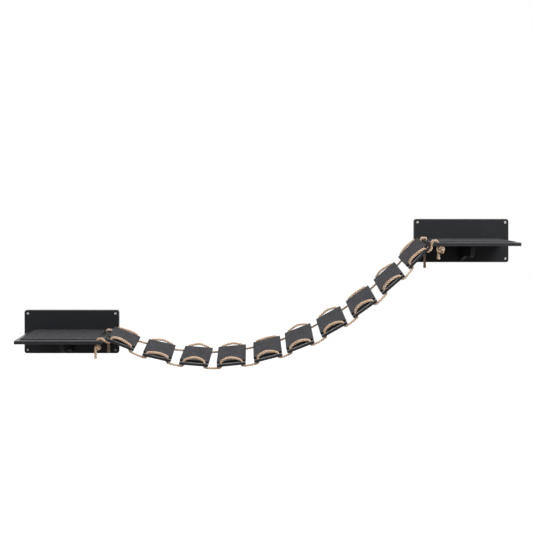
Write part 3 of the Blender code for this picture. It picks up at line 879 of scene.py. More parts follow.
@dataclass(frozen=True)
class StrandTwist:
    """The cross-section of three twisted strands."""

    radius: float = 4.0 * MM
    lay: float = 28.0 * MM
    strands: int = 3
    lobe_steps: int = 6
    strand_share: float = 0.51
    spacing: float = 1.5 * MM
    # The value for the grooves at the middle of each cut end, which darkens it by part of the painted shade
    end_groove: float = 0.6
    sharp: float = 70.0

    def profile(self, offset: float) -> float:
        """How far out the strands reach at an angle from one's middle, as a share of the rope's radius."""
        out = 1 - self.strand_share
        return out * math.cos(offset) + math.sqrt(self.strand_share**2 - (out * math.sin(offset)) ** 2)

    def mesh(self, name: str, sections: Sequence[Section]) -> bpy.types.Mesh:
        """Sweep the strands along a stretch of rope.

        The mesh carries a value for the grooves, 1 between the strands and 0 on them, by which the rope's
        material paints shade in the grooves, and a map of the length along the rope and round it, in metres.

        Args:
            name: The mesh's name.
            sections: The stretch's cross-sections.

        Returns:
            The closed mesh.
        """
        shape = Shape(GROOVE_VALUE)
        uv = shape.mesh.loops.layers.uv.new(ROPE_MAP)
        count = self.strands * self.lobe_steps
        lobe = 2 * math.pi / self.strands
        rings = []
        for section in sections:
            turn = 2 * math.pi * section.along / self.lay
            ring = []
            for step in range(count):
                angle = 2 * math.pi * step / count
                offset = (angle + lobe / 2) % lobe - lobe / 2
                out = section.radius * self.profile(offset)
                way = math.cos(angle + turn) * section.side + math.sin(angle + turn) * section.up
                ring.append(shape.vertex(section.middle + way * out, (offset / (lobe / 2)) ** 2))
            rings.append(ring)
        for index, face in enumerate(shape.bridge(*rings)):
            number, step = divmod(index, count)
            corners = ((number, step), (number, step + 1), (number + 1, step + 1), (number + 1, step))
            for loop, (place, spoke) in zip(face.loops, corners):
                along = sections[place].along
                loop[uv].uv = (along, (spoke / count + along / self.lay) * 2 * math.pi * self.radius)
        for ring, section in ((rings[0], sections[0]), (rings[-1], sections[-1])):
            middle = shape.vertex(section.middle, self.end_groove)
            for step in range(count):
                shape.mesh.faces.new((ring[step], ring[(step + 1) % count], middle))
        return shape.done(name, sharp=self.sharp)


def through(stops: Sequence[Stop], spacing: float) -> tuple[list[Vector], list[float], dict[str, int]]:
    """Sample one smooth curve through a line's stops.

    Args:
        stops: The line's stops.
        spacing: The longest step between samples.

    Returns:
        The samples, the share of the full radius at each, and the sample at each mark.
    """
    line = [stop.point for stop in stops]
    line = [2 * line[0] - line[1], *line, 2 * line[-1] - line[-2]]
    gaps = [math.sqrt((b - a).length) for a, b in zip(line, line[1:])]
    ways = []
    for before, here, after, g, h in zip(line, line[1:], line[2:], gaps, gaps[1:]):
        ways.append((here - before) / g - (after - before) / (g + h) + (after - here) / h)
    samples, girths, marks = [], [], {}
    for number, (stop, after) in enumerate(zip(stops, stops[1:])):
        marks[stop.mark] = len(samples)
        a, b = stop.point, after.point
        gap = gaps[number + 1]
        count = max(1, math.ceil((b - a).length / spacing))
        for step in range(count):
            t = step / count
            weights = (2 * t**3 - 3 * t**2 + 1, t**3 - 2 * t**2 + t, 3 * t**2 - 2 * t**3, t**3 - t**2)
            point = weights[0] * a + weights[1] * gap * ways[number]
            samples.append(point + weights[2] * b + weights[3] * gap * ways[number + 1])
            girths.append(stop.girth + (after.girth - stop.girth) * weights[2])
    marks[stops[-1].mark] = len(samples)
    return [*samples, stops[-1].point], [*girths, stops[-1].girth], marks


def sweep(samples: Sequence[Vector], girths: Sequence[float], radius: float) -> list[Section]:
    """Cross-sections along a curve whose directions don't spin about it.

    Args:
        samples: The curve's points.
        girths: The share of the full radius at each.
        radius: The rope's full radius.

    Returns:
        The sections.
    """
    sections = []
    side = Vector((0, 1, 0))
    along = 0.0
    before, after = [samples[0], *samples], [*samples[1:], samples[-1]]
    for behind, point, ahead, girth in zip(before, samples, after, girths):
        way = (ahead - behind).normalized()
        side = (side - way * side.dot(way)).normalized()
        along += (point - behind).length
        sections.append(Section(point, side.copy(), way.cross(side), radius * girth, along))
    return sections


# The bridge


@dataclass(frozen=True)
class Plank:
    """One plank as the frame has it: its place, its bodies and the sizes that all planks share."""

    number: int
    place: Matrix
    swing: str

    length: float = 100.0 * MM
    width: float = 180.0 * MM
    thickness: float = 9.0 * MM
    corner: float = 2.0 * MM
    corner_steps: int = 6
    edge: float = 0.8 * MM
    rim: float = 1.1 * MM
    hole_spacing: float = 72.0 * MM
    hole: float = 10.0 * MM
    hole_chamfer: float = 0.5 * MM
    row_inset: float = 7.5 * MM
    pad_width: float = 150.0 * MM
    pad_thickness: float = 5.0 * MM
    pad_gap: float = 0.3 * MM

    @property
    def label(self) -> str:
        """The number that ends the plank's node names."""
        return f"{self.number:02d}"

    @property
    def rope_label(self) -> str:
        """The end of the names of the frame's rope nodes at the plank."""
        return self.swing.removeprefix("swing_")

    def spot(self, along: float, row: Row, up: float) -> Vector:
        """A point over one rope's row, from its distance along from the plank's middle and its height."""
        return self.place @ Vector((along, row.side * (self.width / 2 - self.row_inset), up))

    def build(self) -> None:
        """Make the board and its pad."""
        out, reach = self.hole_spacing / 2, self.width / 2 - self.row_inset
        holes = tuple(
            straight_hole(middle, self.hole / 2, self.thickness, self.hole_chamfer)
            for middle in ((-out, -reach), (-out, reach), (out, -reach), (out, reach))
        )
        outline = partial(rounded, self.length, self.width, self.corner, self.corner_steps)
        panel = Panel(outline, self.thickness, self.edge, self.rim, holes)
        board = panel.mesh("plank", self.place @ Matrix.Translation((0, 0, -self.thickness / 2)))
        carpet = CarpetPad(self.length, self.pad_width, self.pad_thickness)
        pad = carpet.mesh("pad", self.place @ Matrix.Translation((0, 0, self.thickness / 2 + self.pad_gap)))
        word, body = self.label, "plank_" + self.label
        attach(add_piece("painted_plank_" + word, board, Slot.BOARD, "plank_board_" + word), body)
        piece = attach(add_piece("carpet_pad_" + word, pad, Slot.MAT, "plank_pad_" + word), body)


def find_planks(frame: Mapping[str, Any]) -> list[Plank]:
    """Read each plank's place from the frame.

    Args:
        frame: The loaded frame.

    Returns:
        The planks from the lower shelf up.
    """
    planks = []
    rocks = [joint for joint in frame["joints"] if joint["name"].startswith("rock_")]
    for number, joint in enumerate(sorted(rocks, key=lambda joint: joint["name"]), 1):
        middle = Vector(joint["pos_m"])
        across = Vector(joint["axis"]).normalized()
        points = [vertex.co for vertex in frame["nodes"][f"plank_board_{number:02d}"].data.vertices]
        halves = [[p for p in points if (p.x > middle.x) == right] for right in (False, True)]
        left, right = (sum(half, Vector()) / len(half) for half in halves)
        along = right - left
        along = (along - across * along.dot(across)).normalized()
        turn = Matrix((along, across, along.cross(across))).transposed().to_4x4()
        planks.append(Plank(number, Matrix.Translation(middle) @ turn, joint["parent"]))
    return planks


@dataclass
class Shelf:
    """One wall unit's shelf board as the frame has it, with the sizes that both share."""

    end: End
    low: Vector = field(init=False)
    high: Vector = field(init=False)

    hole_inset: float = 15.0 * MM
    hole: float = 10.0 * MM
    plank_inset: float = 5.0 * MM

    def __post_init__(self) -> None:
        """Read the board's corners from the frame."""
        self.low, self.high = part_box(self.end.label + "_shelf_board")

    @property
    def edge_x(self) -> float:
        """X of the board's bridge end."""
        return self.high.x if self.end.side > 0 else self.low.x

    @property
    def hole_x(self) -> float:
        """X of the rope holes."""
        return self.edge_x - self.end.side * self.hole_inset

    @property
    def middle(self) -> Vector:
        """The middle of the board."""
        return (self.low + self.high) / 2

    def row_y(self, row: Row) -> float:
        """Y of a rope's hole."""
        middle = self.low.y + self.plank_inset + Plank.width / 2
        return middle + row.side * (Plank.width / 2 - Plank.row_inset)


@dataclass(frozen=True)
class Knot:
    """An open overhand knot under a shelf: how it is turned, and how far its cut tail reaches and opens.

    It lies on a ring, twice round it and three times over its wave, cut open where the ring is widest. Its
    sizes are shares of its pitch, the distance between two stretches of rope that touch.
    """

    turn: float
    side: int
    tail_drop: float
    tail_spread: float

    pitch: float = 6.25 * MM
    rope_share: float = 0.9
    ring: float = 1.22
    wave: float = 0.56
    depth: float = 0.745
    leg: float = 1.74
    leg_depth: float = 0.58
    leg_end: float = 0.57
    height: float = 2.13
    opening: float = 0.67
    steps: int = 15
    tail_shares: tuple[float, ...] = (1.0, 0.7, 0.35)

    def points(self, place: Vector) -> list[Vector]:
        """The knot's line from its standing part down to its tail.

        Args:
            place: Where the rope leaves the shelf's hole.

        Returns:
            The knot's points.
        """
        body = []
        for step in range(self.steps):
            t = -self.opening - (2 * math.pi - 2 * self.opening) * step / (self.steps - 1)
            out = self.ring + self.wave * math.cos(3 * t)
            body.append(Vector((out * math.cos(2 * t), self.depth * math.sin(3 * t), out * math.sin(2 * t))))
        leg = Vector((self.leg, math.copysign(self.leg_depth, body[0].y), 0))
        tail = Vector((leg.x, -leg.y, 0))
        reach = Vector((0, 0, self.leg_end))
        spin = Matrix.Rotation(math.radians(self.turn), 3, "Z") @ Matrix.Diagonal((self.side, 1, 1))
        middle = spin @ leg + Vector((0, 0, self.height))
        return [place + self.pitch * (spin @ point - middle) for point in (leg - reach, *body, tail + reach)]

    def stops(self, place: Vector, bottom: float) -> list[Stop]:
        """The rope from its cut tail up through the knot.

        Args:
            place: Where the rope leaves the shelf's hole.
            bottom: Height of the shelf's underside.

        Returns:
            The stops, tail first.
        """
        knot = self.points(place)
        foot = Vector((*knot[-1].xy, bottom - self.tail_drop))
        spread = self.tail_spread - 1
        stops = [Stop(knot[-1].lerp(foot, share), 1 + spread * share) for share in self.tail_shares]
        return stops + [Stop(point, self.rope_share) for point in reversed(knot)]


@dataclass(frozen=True)
class Bows:
    """How one rope's bows stand over the planks, and how its radius changes from their feet to their tops.

    Each plank has its own rise and lean, from the lower shelf up.
    """

    foot: float
    lift_power: float
    foot_swell: float
    top_swell: float
    rises: tuple[float, ...]
    leans: tuple[float, ...]


@dataclass
class Rope:
    """One of the two ropes, from its knot under the lower shelf to its knot under the upper one."""

    row: Row
    planks: Sequence[Plank]
    shelves: Mapping[End, Shelf]
    joined: set[frozenset[str]]
    twist: StrandTwist = StrandTwist()

    bow_rise: float = 16.0 * MM
    bow_reach_power: float = 1.15
    bow_steps: int = 8
    BOWS: ClassVar[Mapping[Row, Bows]] = {
        Row.NEAR: Bows(
            foot=2.8 * MM,
            lift_power=1.35,
            foot_swell=0.0,
            top_swell=0.27,
            rises=(0.75, 0.65, 1.1, 1.1, 1.1, 0.95, 1.0, 1.0, 0.75, 0.72),
            leans=(-0.25, 0.1, 0.1, -0.1, -0.1, 0.0, -0.1, -0.1, -0.1, -0.35),
        ),
        Row.FAR: Bows(
            foot=4.2 * MM,
            lift_power=3.0,
            foot_swell=-0.16,
            top_swell=0.12,
            rises=(0.46, 0.62, 0.8, 0.68, 0.4, 0.8, 0.75, 0.38, 0.62, 0.48),
            leans=(0.3, 0.0, 0.0, 0.0, 0.0, 0.1, 0.1, 0.0, -0.2, 0.0),
        ),
    }
    under_route: Route = ((0.0, 1.4 * MM), (1.6 * MM, 4.5 * MM), (6.0 * MM, 6.2 * MM))
    gap_sag: float = 6.9 * MM
    shelf_route: Route = ((1.4 * MM, 3.5 * MM), (4.6 * MM, 5.4 * MM), (9.4 * MM, 5.2 * MM))
    shelf_fatness: float = 1.14
    seat_gap: float = 0.3 * MM
    edge_seat: float = 4.7 * MM
    EDGE_TURNS: ClassVar[Mapping[End, tuple[float, ...]]] = {End.LOWER: (12, 50), End.UPPER: (12, 45, 78)}
    edge_under_route: Route = ((16.0 * MM, 6.6 * MM),)
    edge_side_share: float = 0.2
    KNOTS: ClassVar[Mapping[tuple[End, Row], Knot]] = {
        (End.LOWER, Row.NEAR): Knot(75, -1, 51.0 * MM, 1.3),
        (End.LOWER, Row.FAR): Knot(-40, 1, 68.0 * MM, 1.5),
        (End.UPPER, Row.NEAR): Knot(-35, -1, 46.0 * MM, 1.5),
        (End.UPPER, Row.FAR): Knot(40, -1, 93.0 * MM, 1.35),
    }
    cord_diameters: int = 6

    def bow(self, plank: Plank) -> list[Stop]:
        """The rope over a plank, from its left hole to its right one, where its strands open a little.

        Args:
            plank: The plank.

        Returns:
            The bow's stops.
        """
        bows = self.BOWS[self.row]
        rise = self.bow_rise * bows.rises[plank.number - 1]
        stops = []
        for step in range(self.bow_steps + 1):
            angle = math.pi * (1 - step / self.bow_steps)
            along = math.copysign(abs(math.cos(angle)) ** self.bow_reach_power, math.cos(angle))
            share = max(math.sin(angle), 0)
            lift = bows.foot + (rise - bows.foot) * share**bows.lift_power
            reach = plank.hole_spacing / 2 * (along + bows.leans[plank.number - 1] * (1 - along**2))
            point = plank.spot(reach, self.row, plank.thickness / 2 + lift)
            stops.append(Stop(point, 1 + bows.foot_swell + (bows.top_swell - bows.foot_swell) * share))
        return stops

    def under(self, plank: Plank, side: int, route: Route = under_route) -> list[Vector]:
        """The rope under one end of a plank, from its hole out towards the gap.

        Args:
            plank: The plank.
            side: -1 for its left end, 1 for its right one.
            route: Points as distance out from the hole and down from the board.

        Returns:
            The points.
        """
        hole = side * plank.hole_spacing / 2
        return [plank.spot(hole + side * out, self.row, -plank.thickness / 2 - down) for out, down in route]

    def gap(self, left: Plank, right: Plank) -> Vector:
        """The middle of the rope between two planks.

        Args:
            left: The plank before the gap.
            right: The plank after it.

        Returns:
            The point.
        """
        drop = -Plank.thickness / 2 - self.gap_sag
        start = left.spot(left.length / 2, self.row, drop)
        stop = right.spot(-right.length / 2, self.row, drop)
        return (start + stop) / 2

    def edge(self, shelf: Shelf) -> list[Vector]:
        """The rope round a shelf's end edge, from over the board on.

        Args:
            shelf: The shelf.

        Returns:
            The points.
        """
        points = []
        for turn in map(math.radians, self.EDGE_TURNS[shelf.end]):
            x = shelf.edge_x + shelf.end.side * self.edge_seat * math.sin(turn)
            points.append(Vector((x, shelf.row_y(self.row), shelf.high.z + self.edge_seat * math.cos(turn))))
        return points

    def end_stops(self, shelf: Shelf, plank: Plank) -> list[Stop]:
        """A rope's end, from its cut tail through the knot and the shelf to under the next plank.

        Args:
            shelf: The shelf.
            plank: The plank next to it.

        Returns:
            The stops, tail first.
        """
        end, y = shelf.end, shelf.row_y(self.row)
        heights = (shelf.low.z, shelf.middle.z, shelf.high.z + self.seat_gap)
        hole = [Vector((shelf.hole_x, y, z)) for z in heights]
        knot = self.KNOTS[end, self.row]
        stops = knot.stops(hole[0] - Vector((0, 0, self.seat_gap)), shelf.low.z)
        for number, mark in ((0, "_cut"), (len(knot.tail_shares), "_tail")):
            stops[number] = Stop(stops[number].point, stops[number].girth, end.label + mark)
        stops += [Stop(hole[0]), Stop(hole[1], mark=end.label + "_hole"), Stop(hole[2])]
        over = [Vector((shelf.hole_x + end.side * out, y, shelf.high.z + up)) for out, up in self.shelf_route]
        stops += [Stop(point, self.shelf_fatness) for point in (*over, *self.edge(shelf))]
        under = self.under(plank, -end.side, self.edge_under_route)[0]
        under.y = y + (under.y - y) * self.edge_side_share
        return [*stops, Stop(under)]

    def stops(self) -> list[Stop]:
        """The whole rope's line.

        Returns:
            The stops from the lower tail to the upper one.
        """
        first, last = self.planks[0], self.planks[-1]
        stops = self.end_stops(self.shelves[End.LOWER], first)
        for before, plank in zip([None, *self.planks], self.planks):
            if before:
                stops.append(Stop(self.gap(before, plank), mark="gap_" + before.label))
            stops += [Stop(point) for point in reversed(self.under(plank, -1))]
            stops.append(Stop(plank.spot(-plank.hole_spacing / 2, self.row, 0), mark="left_" + plank.label))
            stops += self.bow(plank)
            stops.append(Stop(plank.spot(plank.hole_spacing / 2, self.row, 0), mark="right_" + plank.label))
            stops += [Stop(point) for point in self.under(plank, 1)]
        return [*stops, *reversed(self.end_stops(self.shelves[End.UPPER], last))]

    def build(self) -> None:
        """Make the rope's pieces, cut where the boards hide the cuts, and give each its body, apart from the
        reaches to the shelves and the spans between joined swings.
        """
        samples, girths, marks = through(self.stops(), self.twist.spacing)
        sections = sweep(samples, girths, self.twist.radius)
        log.info("%s rope: %.3f m from tail to tail", self.row.label, sections[-1].along)

        def stretch(name: str, start: str, stop: str, *nodes: str) -> bpy.types.Object:
            """The piece of the rope between two marks, in place of the frame's nodes.

            Args:
                name: The piece's name, after the rope's word.
                start: One mark.
                stop: The other mark.
                nodes: The ends of the nodes' names.

            Returns:
                The piece.
            """
            low, high = sorted((marks[start], marks[stop]))
            label, mesh = self.row.label, self.twist.mesh(name, sections[low : high + 1])
            return add_piece(f"{label}_{name}", mesh, Slot.ROPE, *(f"{label}_rope_{node}" for node in nodes))

        for end, plank in zip(End, (self.planks[0], self.planks[-1])):
            word, own = end.label, end.label + "_end"
            low, high = sorted((marks[word + "_cut"], marks[word + "_tail"]))
            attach(stretch(word + "_knot", word + "_tail", word + "_hole", own), ROOT_BODY)
            tail = stretch(word + "_tail", word + "_cut", word + "_tail", own)
            self.hold_tail(tail, sections[low : high + 1][:: -end.side])
            hole = f"{'left' if end.side > 0 else 'right'}_{plank.label}"
            reach = stretch(word + "_reach", word + "_hole", hole, own, plank.rope_label)
            fixed = (ROOT_BODY, self.edge(self.shelves[end])[-1])
            (body_a, start), (body_b, stop) = (fixed, (plank.swing, samples[marks[hole]]))[:: end.side]
            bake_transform(reach)
        for plank in self.planks:
            word = plank.label
            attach(stretch("bow_" + word, "left_" + word, "right_" + word, plank.rope_label), plank.swing)
        for left, right in zip(self.planks, self.planks[1:]):
            start, middle, stop = "right_" + left.label, "gap_" + left.label, "left_" + right.label
            name = f"span_{left.label}_{right.label}"
            if left.swing == right.swing:
                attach(stretch(name, start, stop, left.rope_label), left.swing)
            elif frozenset((left.swing, right.swing)) in self.joined:
                piece = stretch(name, start, stop, left.rope_label, right.rope_label)
                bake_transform(piece)
            else:
                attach(stretch(name + "_a", start, middle, left.rope_label), left.swing)
                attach(stretch(name + "_b", middle, stop, right.rope_label), right.swing)

    def hold_tail(self, piece: bpy.types.Object, sections: Sequence[Section]) -> None:
        """Args:
            piece: The tail.
            sections: Its cross-sections, from the knot down.
        """
        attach(piece, ROOT_BODY)
        length = abs(sections[-1].along - sections[0].along)
        diameter = 2 * sum(section.radius for section in sections) / len(sections)
        log.info("%s: %.3f m free", piece.name, length)
        if length >= self.cord_diameters * diameter:
            sections[0].middle
            [section.middle for section in sections]


# The wall units


@dataclass(frozen=True)
class Bracket:
    """An S-shaped bracket cut from board, drawn in (depth, drop) from the plate's front under the shelf.

    Its lower side is three curves, each from its first point to its last, with two handles between them.
    """

    thickness: float = 12.0 * MM
    edge: float = 0.8 * MM
    rim: float = 1.5 * MM
    curves_mm: tuple[Route, ...] = (
        ((148.0, 0.0), (148.0, 22.5), (139.0, 45.0), (118.0, 45.0)),
        ((118.0, 45.0), (94.0, 45.0), (58.0, 45.0), (38.0, 54.0)),
        ((38.0, 54.0), (21.5, 59.95), (8.0, 59.95), (8.0, 71.0)),
    )
    steps: int = 18
    mitre_limit: float = 0.5

    def points(self) -> list[Vector]:
        """The S from the plate along the top and back down.

        Returns:
            The points.
        """
        points = [Vector(), Vector((*self.curves_mm[0][0], 0)) * MM]
        for curve in self.curves_mm:
            for number in range(1, self.steps + 1):
                t = number / self.steps
                weights = ((1 - t) ** 3, 3 * t * (1 - t) ** 2, 3 * t * t * (1 - t), t**3)
                points.append(MM * sum((w * Vector((*p, 0)) for w, p in zip(weights, curve)), Vector()))
        return [*points, Vector((0, points[-1].y, 0))]

    def outline(self, inset: float) -> list[Vector]:
        """The points inside the S, with mitred corners.

        Args:
            inset: How far inside.

        Returns:
            The points.
        """
        points, moved = self.points(), []
        for before, here, after in zip([points[-1], *points], points, [*points[1:], points[0]]):
            ways = [(b - a).normalized() for a, b in ((before, here), (here, after))]
            inward = [Vector((-way.y, way.x, 0)) for way in ways]
            middle = (inward[0] + inward[1]).normalized()
            moved.append(here + middle * inset / max(middle.dot(inward[0]), self.mitre_limit))
        return moved


@dataclass(frozen=True)
class WallUnit:
    """A wall plate with its shelf, mat, bracket and screws."""

    end: End

    plate_width: float = 350.0 * MM
    plate_height: float = 160.0 * MM
    plate_thickness: float = 12.0 * MM
    plate_corner: float = 9.0 * MM
    plate_corner_steps: int = 10
    edge: float = 1.2 * MM
    rim: float = 2.5 * MM
    shelf_corner: float = 4.0 * MM
    shelf_corner_steps: int = 8
    screws: int = 4
    screw_inset: float = 13.0 * MM
    screw_bore: float = 5.1 * MM
    hole_chamfer: float = 0.6 * MM
    shelf_screw_offset: float = 100.0 * MM
    sink: Route = ((4.3 * MM, 0.0), (2.3 * MM, 3.2 * MM), (2.3 * MM, 12.0 * MM))
    sink_steps: int = 24
    UPRIGHT: ClassVar[Matrix] = Matrix.Rotation(math.pi / 2, 4, "X")
    BRACKET_TURN: ClassVar[Matrix] = Matrix(((0, 0, 1), (-1, 0, 0), (0, -1, 0))).to_4x4()

    def build(self) -> None:
        """Make the unit's pieces."""
        self.plate()
        self.shelf()
        self.mat()
        self.bracket()
        for number in range(1, self.screws + 1):
            WallScrew(self.end, number).build()

    def _add(self, name: str, mesh: bpy.types.Mesh, slot: Slot, node: str) -> bpy.types.Object:
        """Add a mesh in place of one of the unit's nodes, with both names after the end's word."""
        word = self.end.label
        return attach(add_piece(f"{word}_{name}", mesh, slot, f"{word}_{node}"), ROOT_BODY)

    def plate(self) -> None:
        """The wall plate, with its screw bores and the sunk ones behind the shelf."""
        low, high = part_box(self.end.label + "_wall_plate")
        middle = (low + high) / 2
        across = self.plate_width / 2 - self.screw_inset
        up = self.plate_height / 2 - self.screw_inset
        holes = [
            straight_hole(spot, self.screw_bore / 2, self.plate_thickness, self.hole_chamfer)
            for spot in ((-across, -up), (-across, up), (across, -up), (across, up))
        ]
        shelf = Shelf(self.end)
        height = (shelf.low.z + shelf.high.z) / 2 - middle.z
        for x in (-self.shelf_screw_offset, self.shelf_screw_offset):
            holes.append(Hole((x, height), self.sink, self.sink_steps))
        size = (self.plate_width, self.plate_height, self.plate_corner, self.plate_corner_steps)
        panel = Panel(partial(rounded, *size), self.plate_thickness, self.edge, self.rim, tuple(holes))
        place = Matrix.Translation((middle.x, high.y, middle.z)) @ self.UPRIGHT
        self._add("painted_plate", panel.mesh("plate", place), Slot.BOARD, "wall_plate")

    def shelf(self) -> None:
        """The shelf board with its two rope holes."""
        shelf = Shelf(self.end)
        size, middle = shelf.high - shelf.low, shelf.middle
        spots = [(shelf.hole_x - middle.x, shelf.row_y(row) - middle.y) for row in Row]
        holes = tuple(straight_hole(spot, shelf.hole / 2, size.z, self.hole_chamfer) for spot in spots)
        outline = partial(rounded, size.x, size.y, self.shelf_corner, self.shelf_corner_steps)
        panel = Panel(outline, size.z, self.edge, self.rim, holes)
        place = Matrix.Translation((middle.x, middle.y, shelf.low.z))
        self._add("painted_shelf", panel.mesh("shelf", place), Slot.BOARD, "shelf_board")

    def mat(self) -> None:
        """The shelf's carpet mat."""
        low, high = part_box(self.end.label + "_shelf_mat")
        middle = (low + high) / 2
        mesh = CarpetPad(*(high - low)).mesh("mat", Matrix.Translation((middle.x, middle.y, low.z)))
        self._add("carpet_mat", mesh, Slot.MAT, "shelf_mat")

    def bracket(self) -> None:
        """The S-shaped bracket under the shelf."""
        low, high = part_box(self.end.label + "_bracket")
        bracket = Bracket()
        panel = Panel(bracket.outline, bracket.thickness, bracket.edge, bracket.rim)
        place = Matrix.Translation((low.x, high.y, high.z)) @ self.BRACKET_TURN
        self._add("painted_bracket", panel.mesh("bracket", place), Slot.BOARD, "bracket")


@dataclass(frozen=True)
class WallScrew:
    """A domed screw with a cross recess, turned finely."""

    end: End
    number: int

    shank: float = 4.5 * MM
    head: float = 9.0 * MM
    rim: float = 1.0 * MM
    soft_share: float = 0.25
    rise: float = 2.8 * MM
    seat: float = 12.3 * MM
    cross_width: float = 1.3 * MM
    cross_span: float = 5.0 * MM
    cross_depth: float = 1.7 * MM
    cross_floor_share: float = 0.55
    cross_mouth_share: float = 1.2
    steps: int = 48
    dome_steps: int = 7
    dome_turn: float = 84.0
    first_turn: float = 23.0
    next_turn: float = 41.0

    def profile(self) -> list[tuple[float, float]]:
        """The screw's outline from the wall to the top of its dome.

        Returns:
            The outline as (radius, height).
        """
        shank, head = self.shank / 2, self.head / 2
        soft = self.rim * self.soft_share
        points = [(shank, 0.0), (shank, self.seat), (head - soft, self.seat), (head, self.seat + soft)]
        for step in range(self.dome_steps):
            angle = math.radians(self.dome_turn) * step / (self.dome_steps - 1)
            up = self.seat + self.rim + (self.rise - self.rim) * math.sin(angle)
            points.append((head * math.cos(angle), up))
        return points

    def build(self) -> None:
        """Make the screw in place of its node."""
        node = f"{self.end.label}_wall_screw_{self.number}"
        low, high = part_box(node)
        middle = (low + high) / 2
        shape = Shape(RIM_VALUE)
        rings = [shape.ring(circle(*level, self.steps)) for level in self.profile()]
        shape.bridge(*rings)
        for ring in (rings[0], rings[-1]):
            shape.mesh.faces.new(ring)
        piece = add_piece(node.replace("wall", "domed"), shape.done("screw"), Slot.STEEL, node)
        self.recess(piece)
        spin = Matrix.Rotation(math.radians(self.first_turn + self.next_turn * self.number), 4, "Z")
        piece.data.transform(Matrix.Translation((middle.x, high.y, middle.z)) @ WallUnit.UPRIGHT @ spin)
        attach(piece, ROOT_BODY)

    def recess(self, piece: bpy.types.Object) -> None:
        """Cut the cross recess, which narrows towards its floor.

        Args:
            piece: The screw, standing on its own z = 0.
        """
        thin, wide = self.cross_width / 2, self.cross_span / 2
        top = self.seat + self.rise
        arm = ((wide, thin), (thin, thin), (thin, wide))
        shape = Shape(RIM_VALUE)
        rings = []
        for height, share in (
            (top - self.cross_depth, self.cross_floor_share),
            (top + self.rim, self.cross_mouth_share),
        ):
            corners = []
            for sx, sy, order in ((1, 1, 1), (-1, 1, -1), (-1, -1, 1), (1, -1, -1)):
                corners += [(sx * x * share, sy * y * share, height) for x, y in arm[::order]]
            rings.append(shape.ring(corners))
        shape.bridge(*rings)
        for ring in rings:
            shape.mesh.faces.new(ring)
        cutter = link("recess_cutter", shape.done("recess"))
        piece.modifiers.new("recess", "BOOLEAN").object = cutter
        bpy.context.view_layer.update()
        evaluated = piece.evaluated_get(bpy.context.evaluated_depsgraph_get())
        mesh = bpy.data.meshes.new_from_object(evaluated)
        piece.modifiers.clear()
        piece.data = mesh
        bpy.data.objects.remove(cutter)


# The studio


@dataclass(frozen=True)
class Lamp:
    """A soft square lamp that looks at a point."""

    name: str
    place: Place
    target: Place
    size: float
    power: float

    def build(self) -> None:
        """Make the lamp."""
        light = bpy.data.lights.new(self.name, "AREA")
        light.shape = "SQUARE"
        light.size = self.size
        light.energy = self.power
        lamp = link(self.name, light)
        lamp.location = self.place
        lamp.rotation_euler = (Vector(self.target) - Vector(self.place)).to_track_quat("-Z", "Y").to_euler()


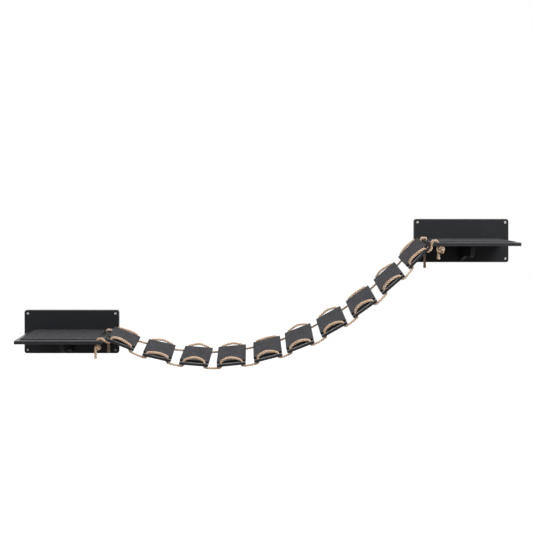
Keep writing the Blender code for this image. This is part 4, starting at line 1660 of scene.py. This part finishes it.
@dataclass(frozen=True)
class Studio:
    """The camera at the photograph's place, plain soft light and a pale floor."""

    camera_place: Place = (0.667, -2.712, 0.513)
    camera_lens: float = 49.3
    camera_sensor: float = 36.0
    camera_shift: Span = (0.0272, -0.1379)
    floor_drop: float = 0.95
    floor_reach: float = 6.0
    light_below: float = 0.02
    light_above: float = 0.75
    gloss_front: float = 0.1
    gloss_back: float = 0.6
    gloss_sides: float = 1.6
    side_range: Span = (0.01, 0.12)
    lamps: tuple[Lamp, ...] = (
        Lamp("key_lamp", (2.5, -2.1, 2.2), (0.9, 0.0, 0.2), 1.6, 80.0),
        Lamp("side_lamp", (-1.4, -2.4, 2.2), (0.4, 0.0, 0.0), 1.6, 28.0),
        Lamp("back_lamp", (0.5, 2.3, 2.2), (0.5, -0.1, 0.1), 2.2, 45.0),
    )

    def camera(self) -> None:
        """Place the camera, level and looking straight at the wall."""
        data = bpy.data.cameras.new("photo_camera")
        data.sensor_width = self.camera_sensor
        data.lens = self.camera_lens
        data.shift_x, data.shift_y = self.camera_shift
        camera = link("photo_camera", data)
        camera.location = self.camera_place
        camera.rotation_euler = (math.pi / 2, 0, 0)
        bpy.context.scene.camera = camera

    def world(self) -> None:
        """A white surround: full white to the camera, brighter behind to gloss and above as light."""
        world = bpy.data.worlds.new("white_surround")
        world.use_nodes = True
        graph = Graph(world.node_tree)
        way = {"Vector": graph.node("ShaderNodeTexCoord", output="Generated")}
        width, depth, height = (graph.node("ShaderNodeSeparateXYZ", {}, way, axis) for axis in "XYZ")
        aside = (width * width).between(*self.side_range)
        back = self.gloss_back + aside * (self.gloss_sides - self.gloss_back)
        gloss = self.gloss_front + depth.between(-1.0, 1.0) * (back - self.gloss_front)
        light = self.light_below + height.between(-1.0, 1.0) * (self.light_above - self.light_below)
        seen = graph.node("ShaderNodeLightPath", output="Is Camera Ray")
        mirrored = graph.node("ShaderNodeLightPath", output="Is Glossy Ray")
        background = world.node_tree.nodes["Background"]
        graph.feed(background.inputs["Color"], WHITE)
        level = seen + (1 - seen) * (mirrored * gloss + (1 - mirrored) * light)
        graph.feed(background.inputs["Strength"], level)
        bpy.context.scene.world = world

    def floor(self) -> None:
        """A wide pale floor well under the object."""
        mesh = bpy.data.meshes.new("floor")
        r = self.floor_reach
        mesh.from_pydata([(-r, -r, 0), (r, -r, 0), (r, r, 0), (-r, r, 0)], [], [(0, 1, 2, 3)])
        mesh.materials.append(PaleFloor().material())
        floor = link("floor", mesh)
        low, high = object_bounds()
        floor.location = ((low.x + high.x) / 2, 0, low.z - self.floor_drop)
        floor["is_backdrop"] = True

    def build(self) -> None:
        """Make the camera, the light and the floor."""
        self.camera()
        self.world()
        for lamp in self.lamps:
            lamp.build()
        self.floor()
        bpy.context.scene.view_settings.view_transform = "Standard"


def main() -> None:
    """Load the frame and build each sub-assembly round it."""
    logging.basicConfig(level=logging.INFO, format="%(name)s: %(message)s")
    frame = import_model()
    Studio().build()
    materials = {slot: finish.material() for slot, finish in FINISHES.items()}
    planks = find_planks(frame)
    shelves = {end: Shelf(end) for end in End}
    joined = {frozenset((joint["parent"], joint["child"])) for joint in frame["joints"]}
    for row in Row:
        Rope(row, planks, shelves, joined).build()
    for end in End:
        WallUnit(end).build()
    for plank in planks:
        plank.build()
    for end in End:
        for number in (1, 2):
            screw = frame["nodes"][f"{end.label}_shelf_screw_{number}"]
            screw.data.materials.clear()
            screw.data.materials.append(materials[Slot.STEEL])
            log.info("%s: the frame's own shape", screw.name)


if __name__ == "__main__":
    main()
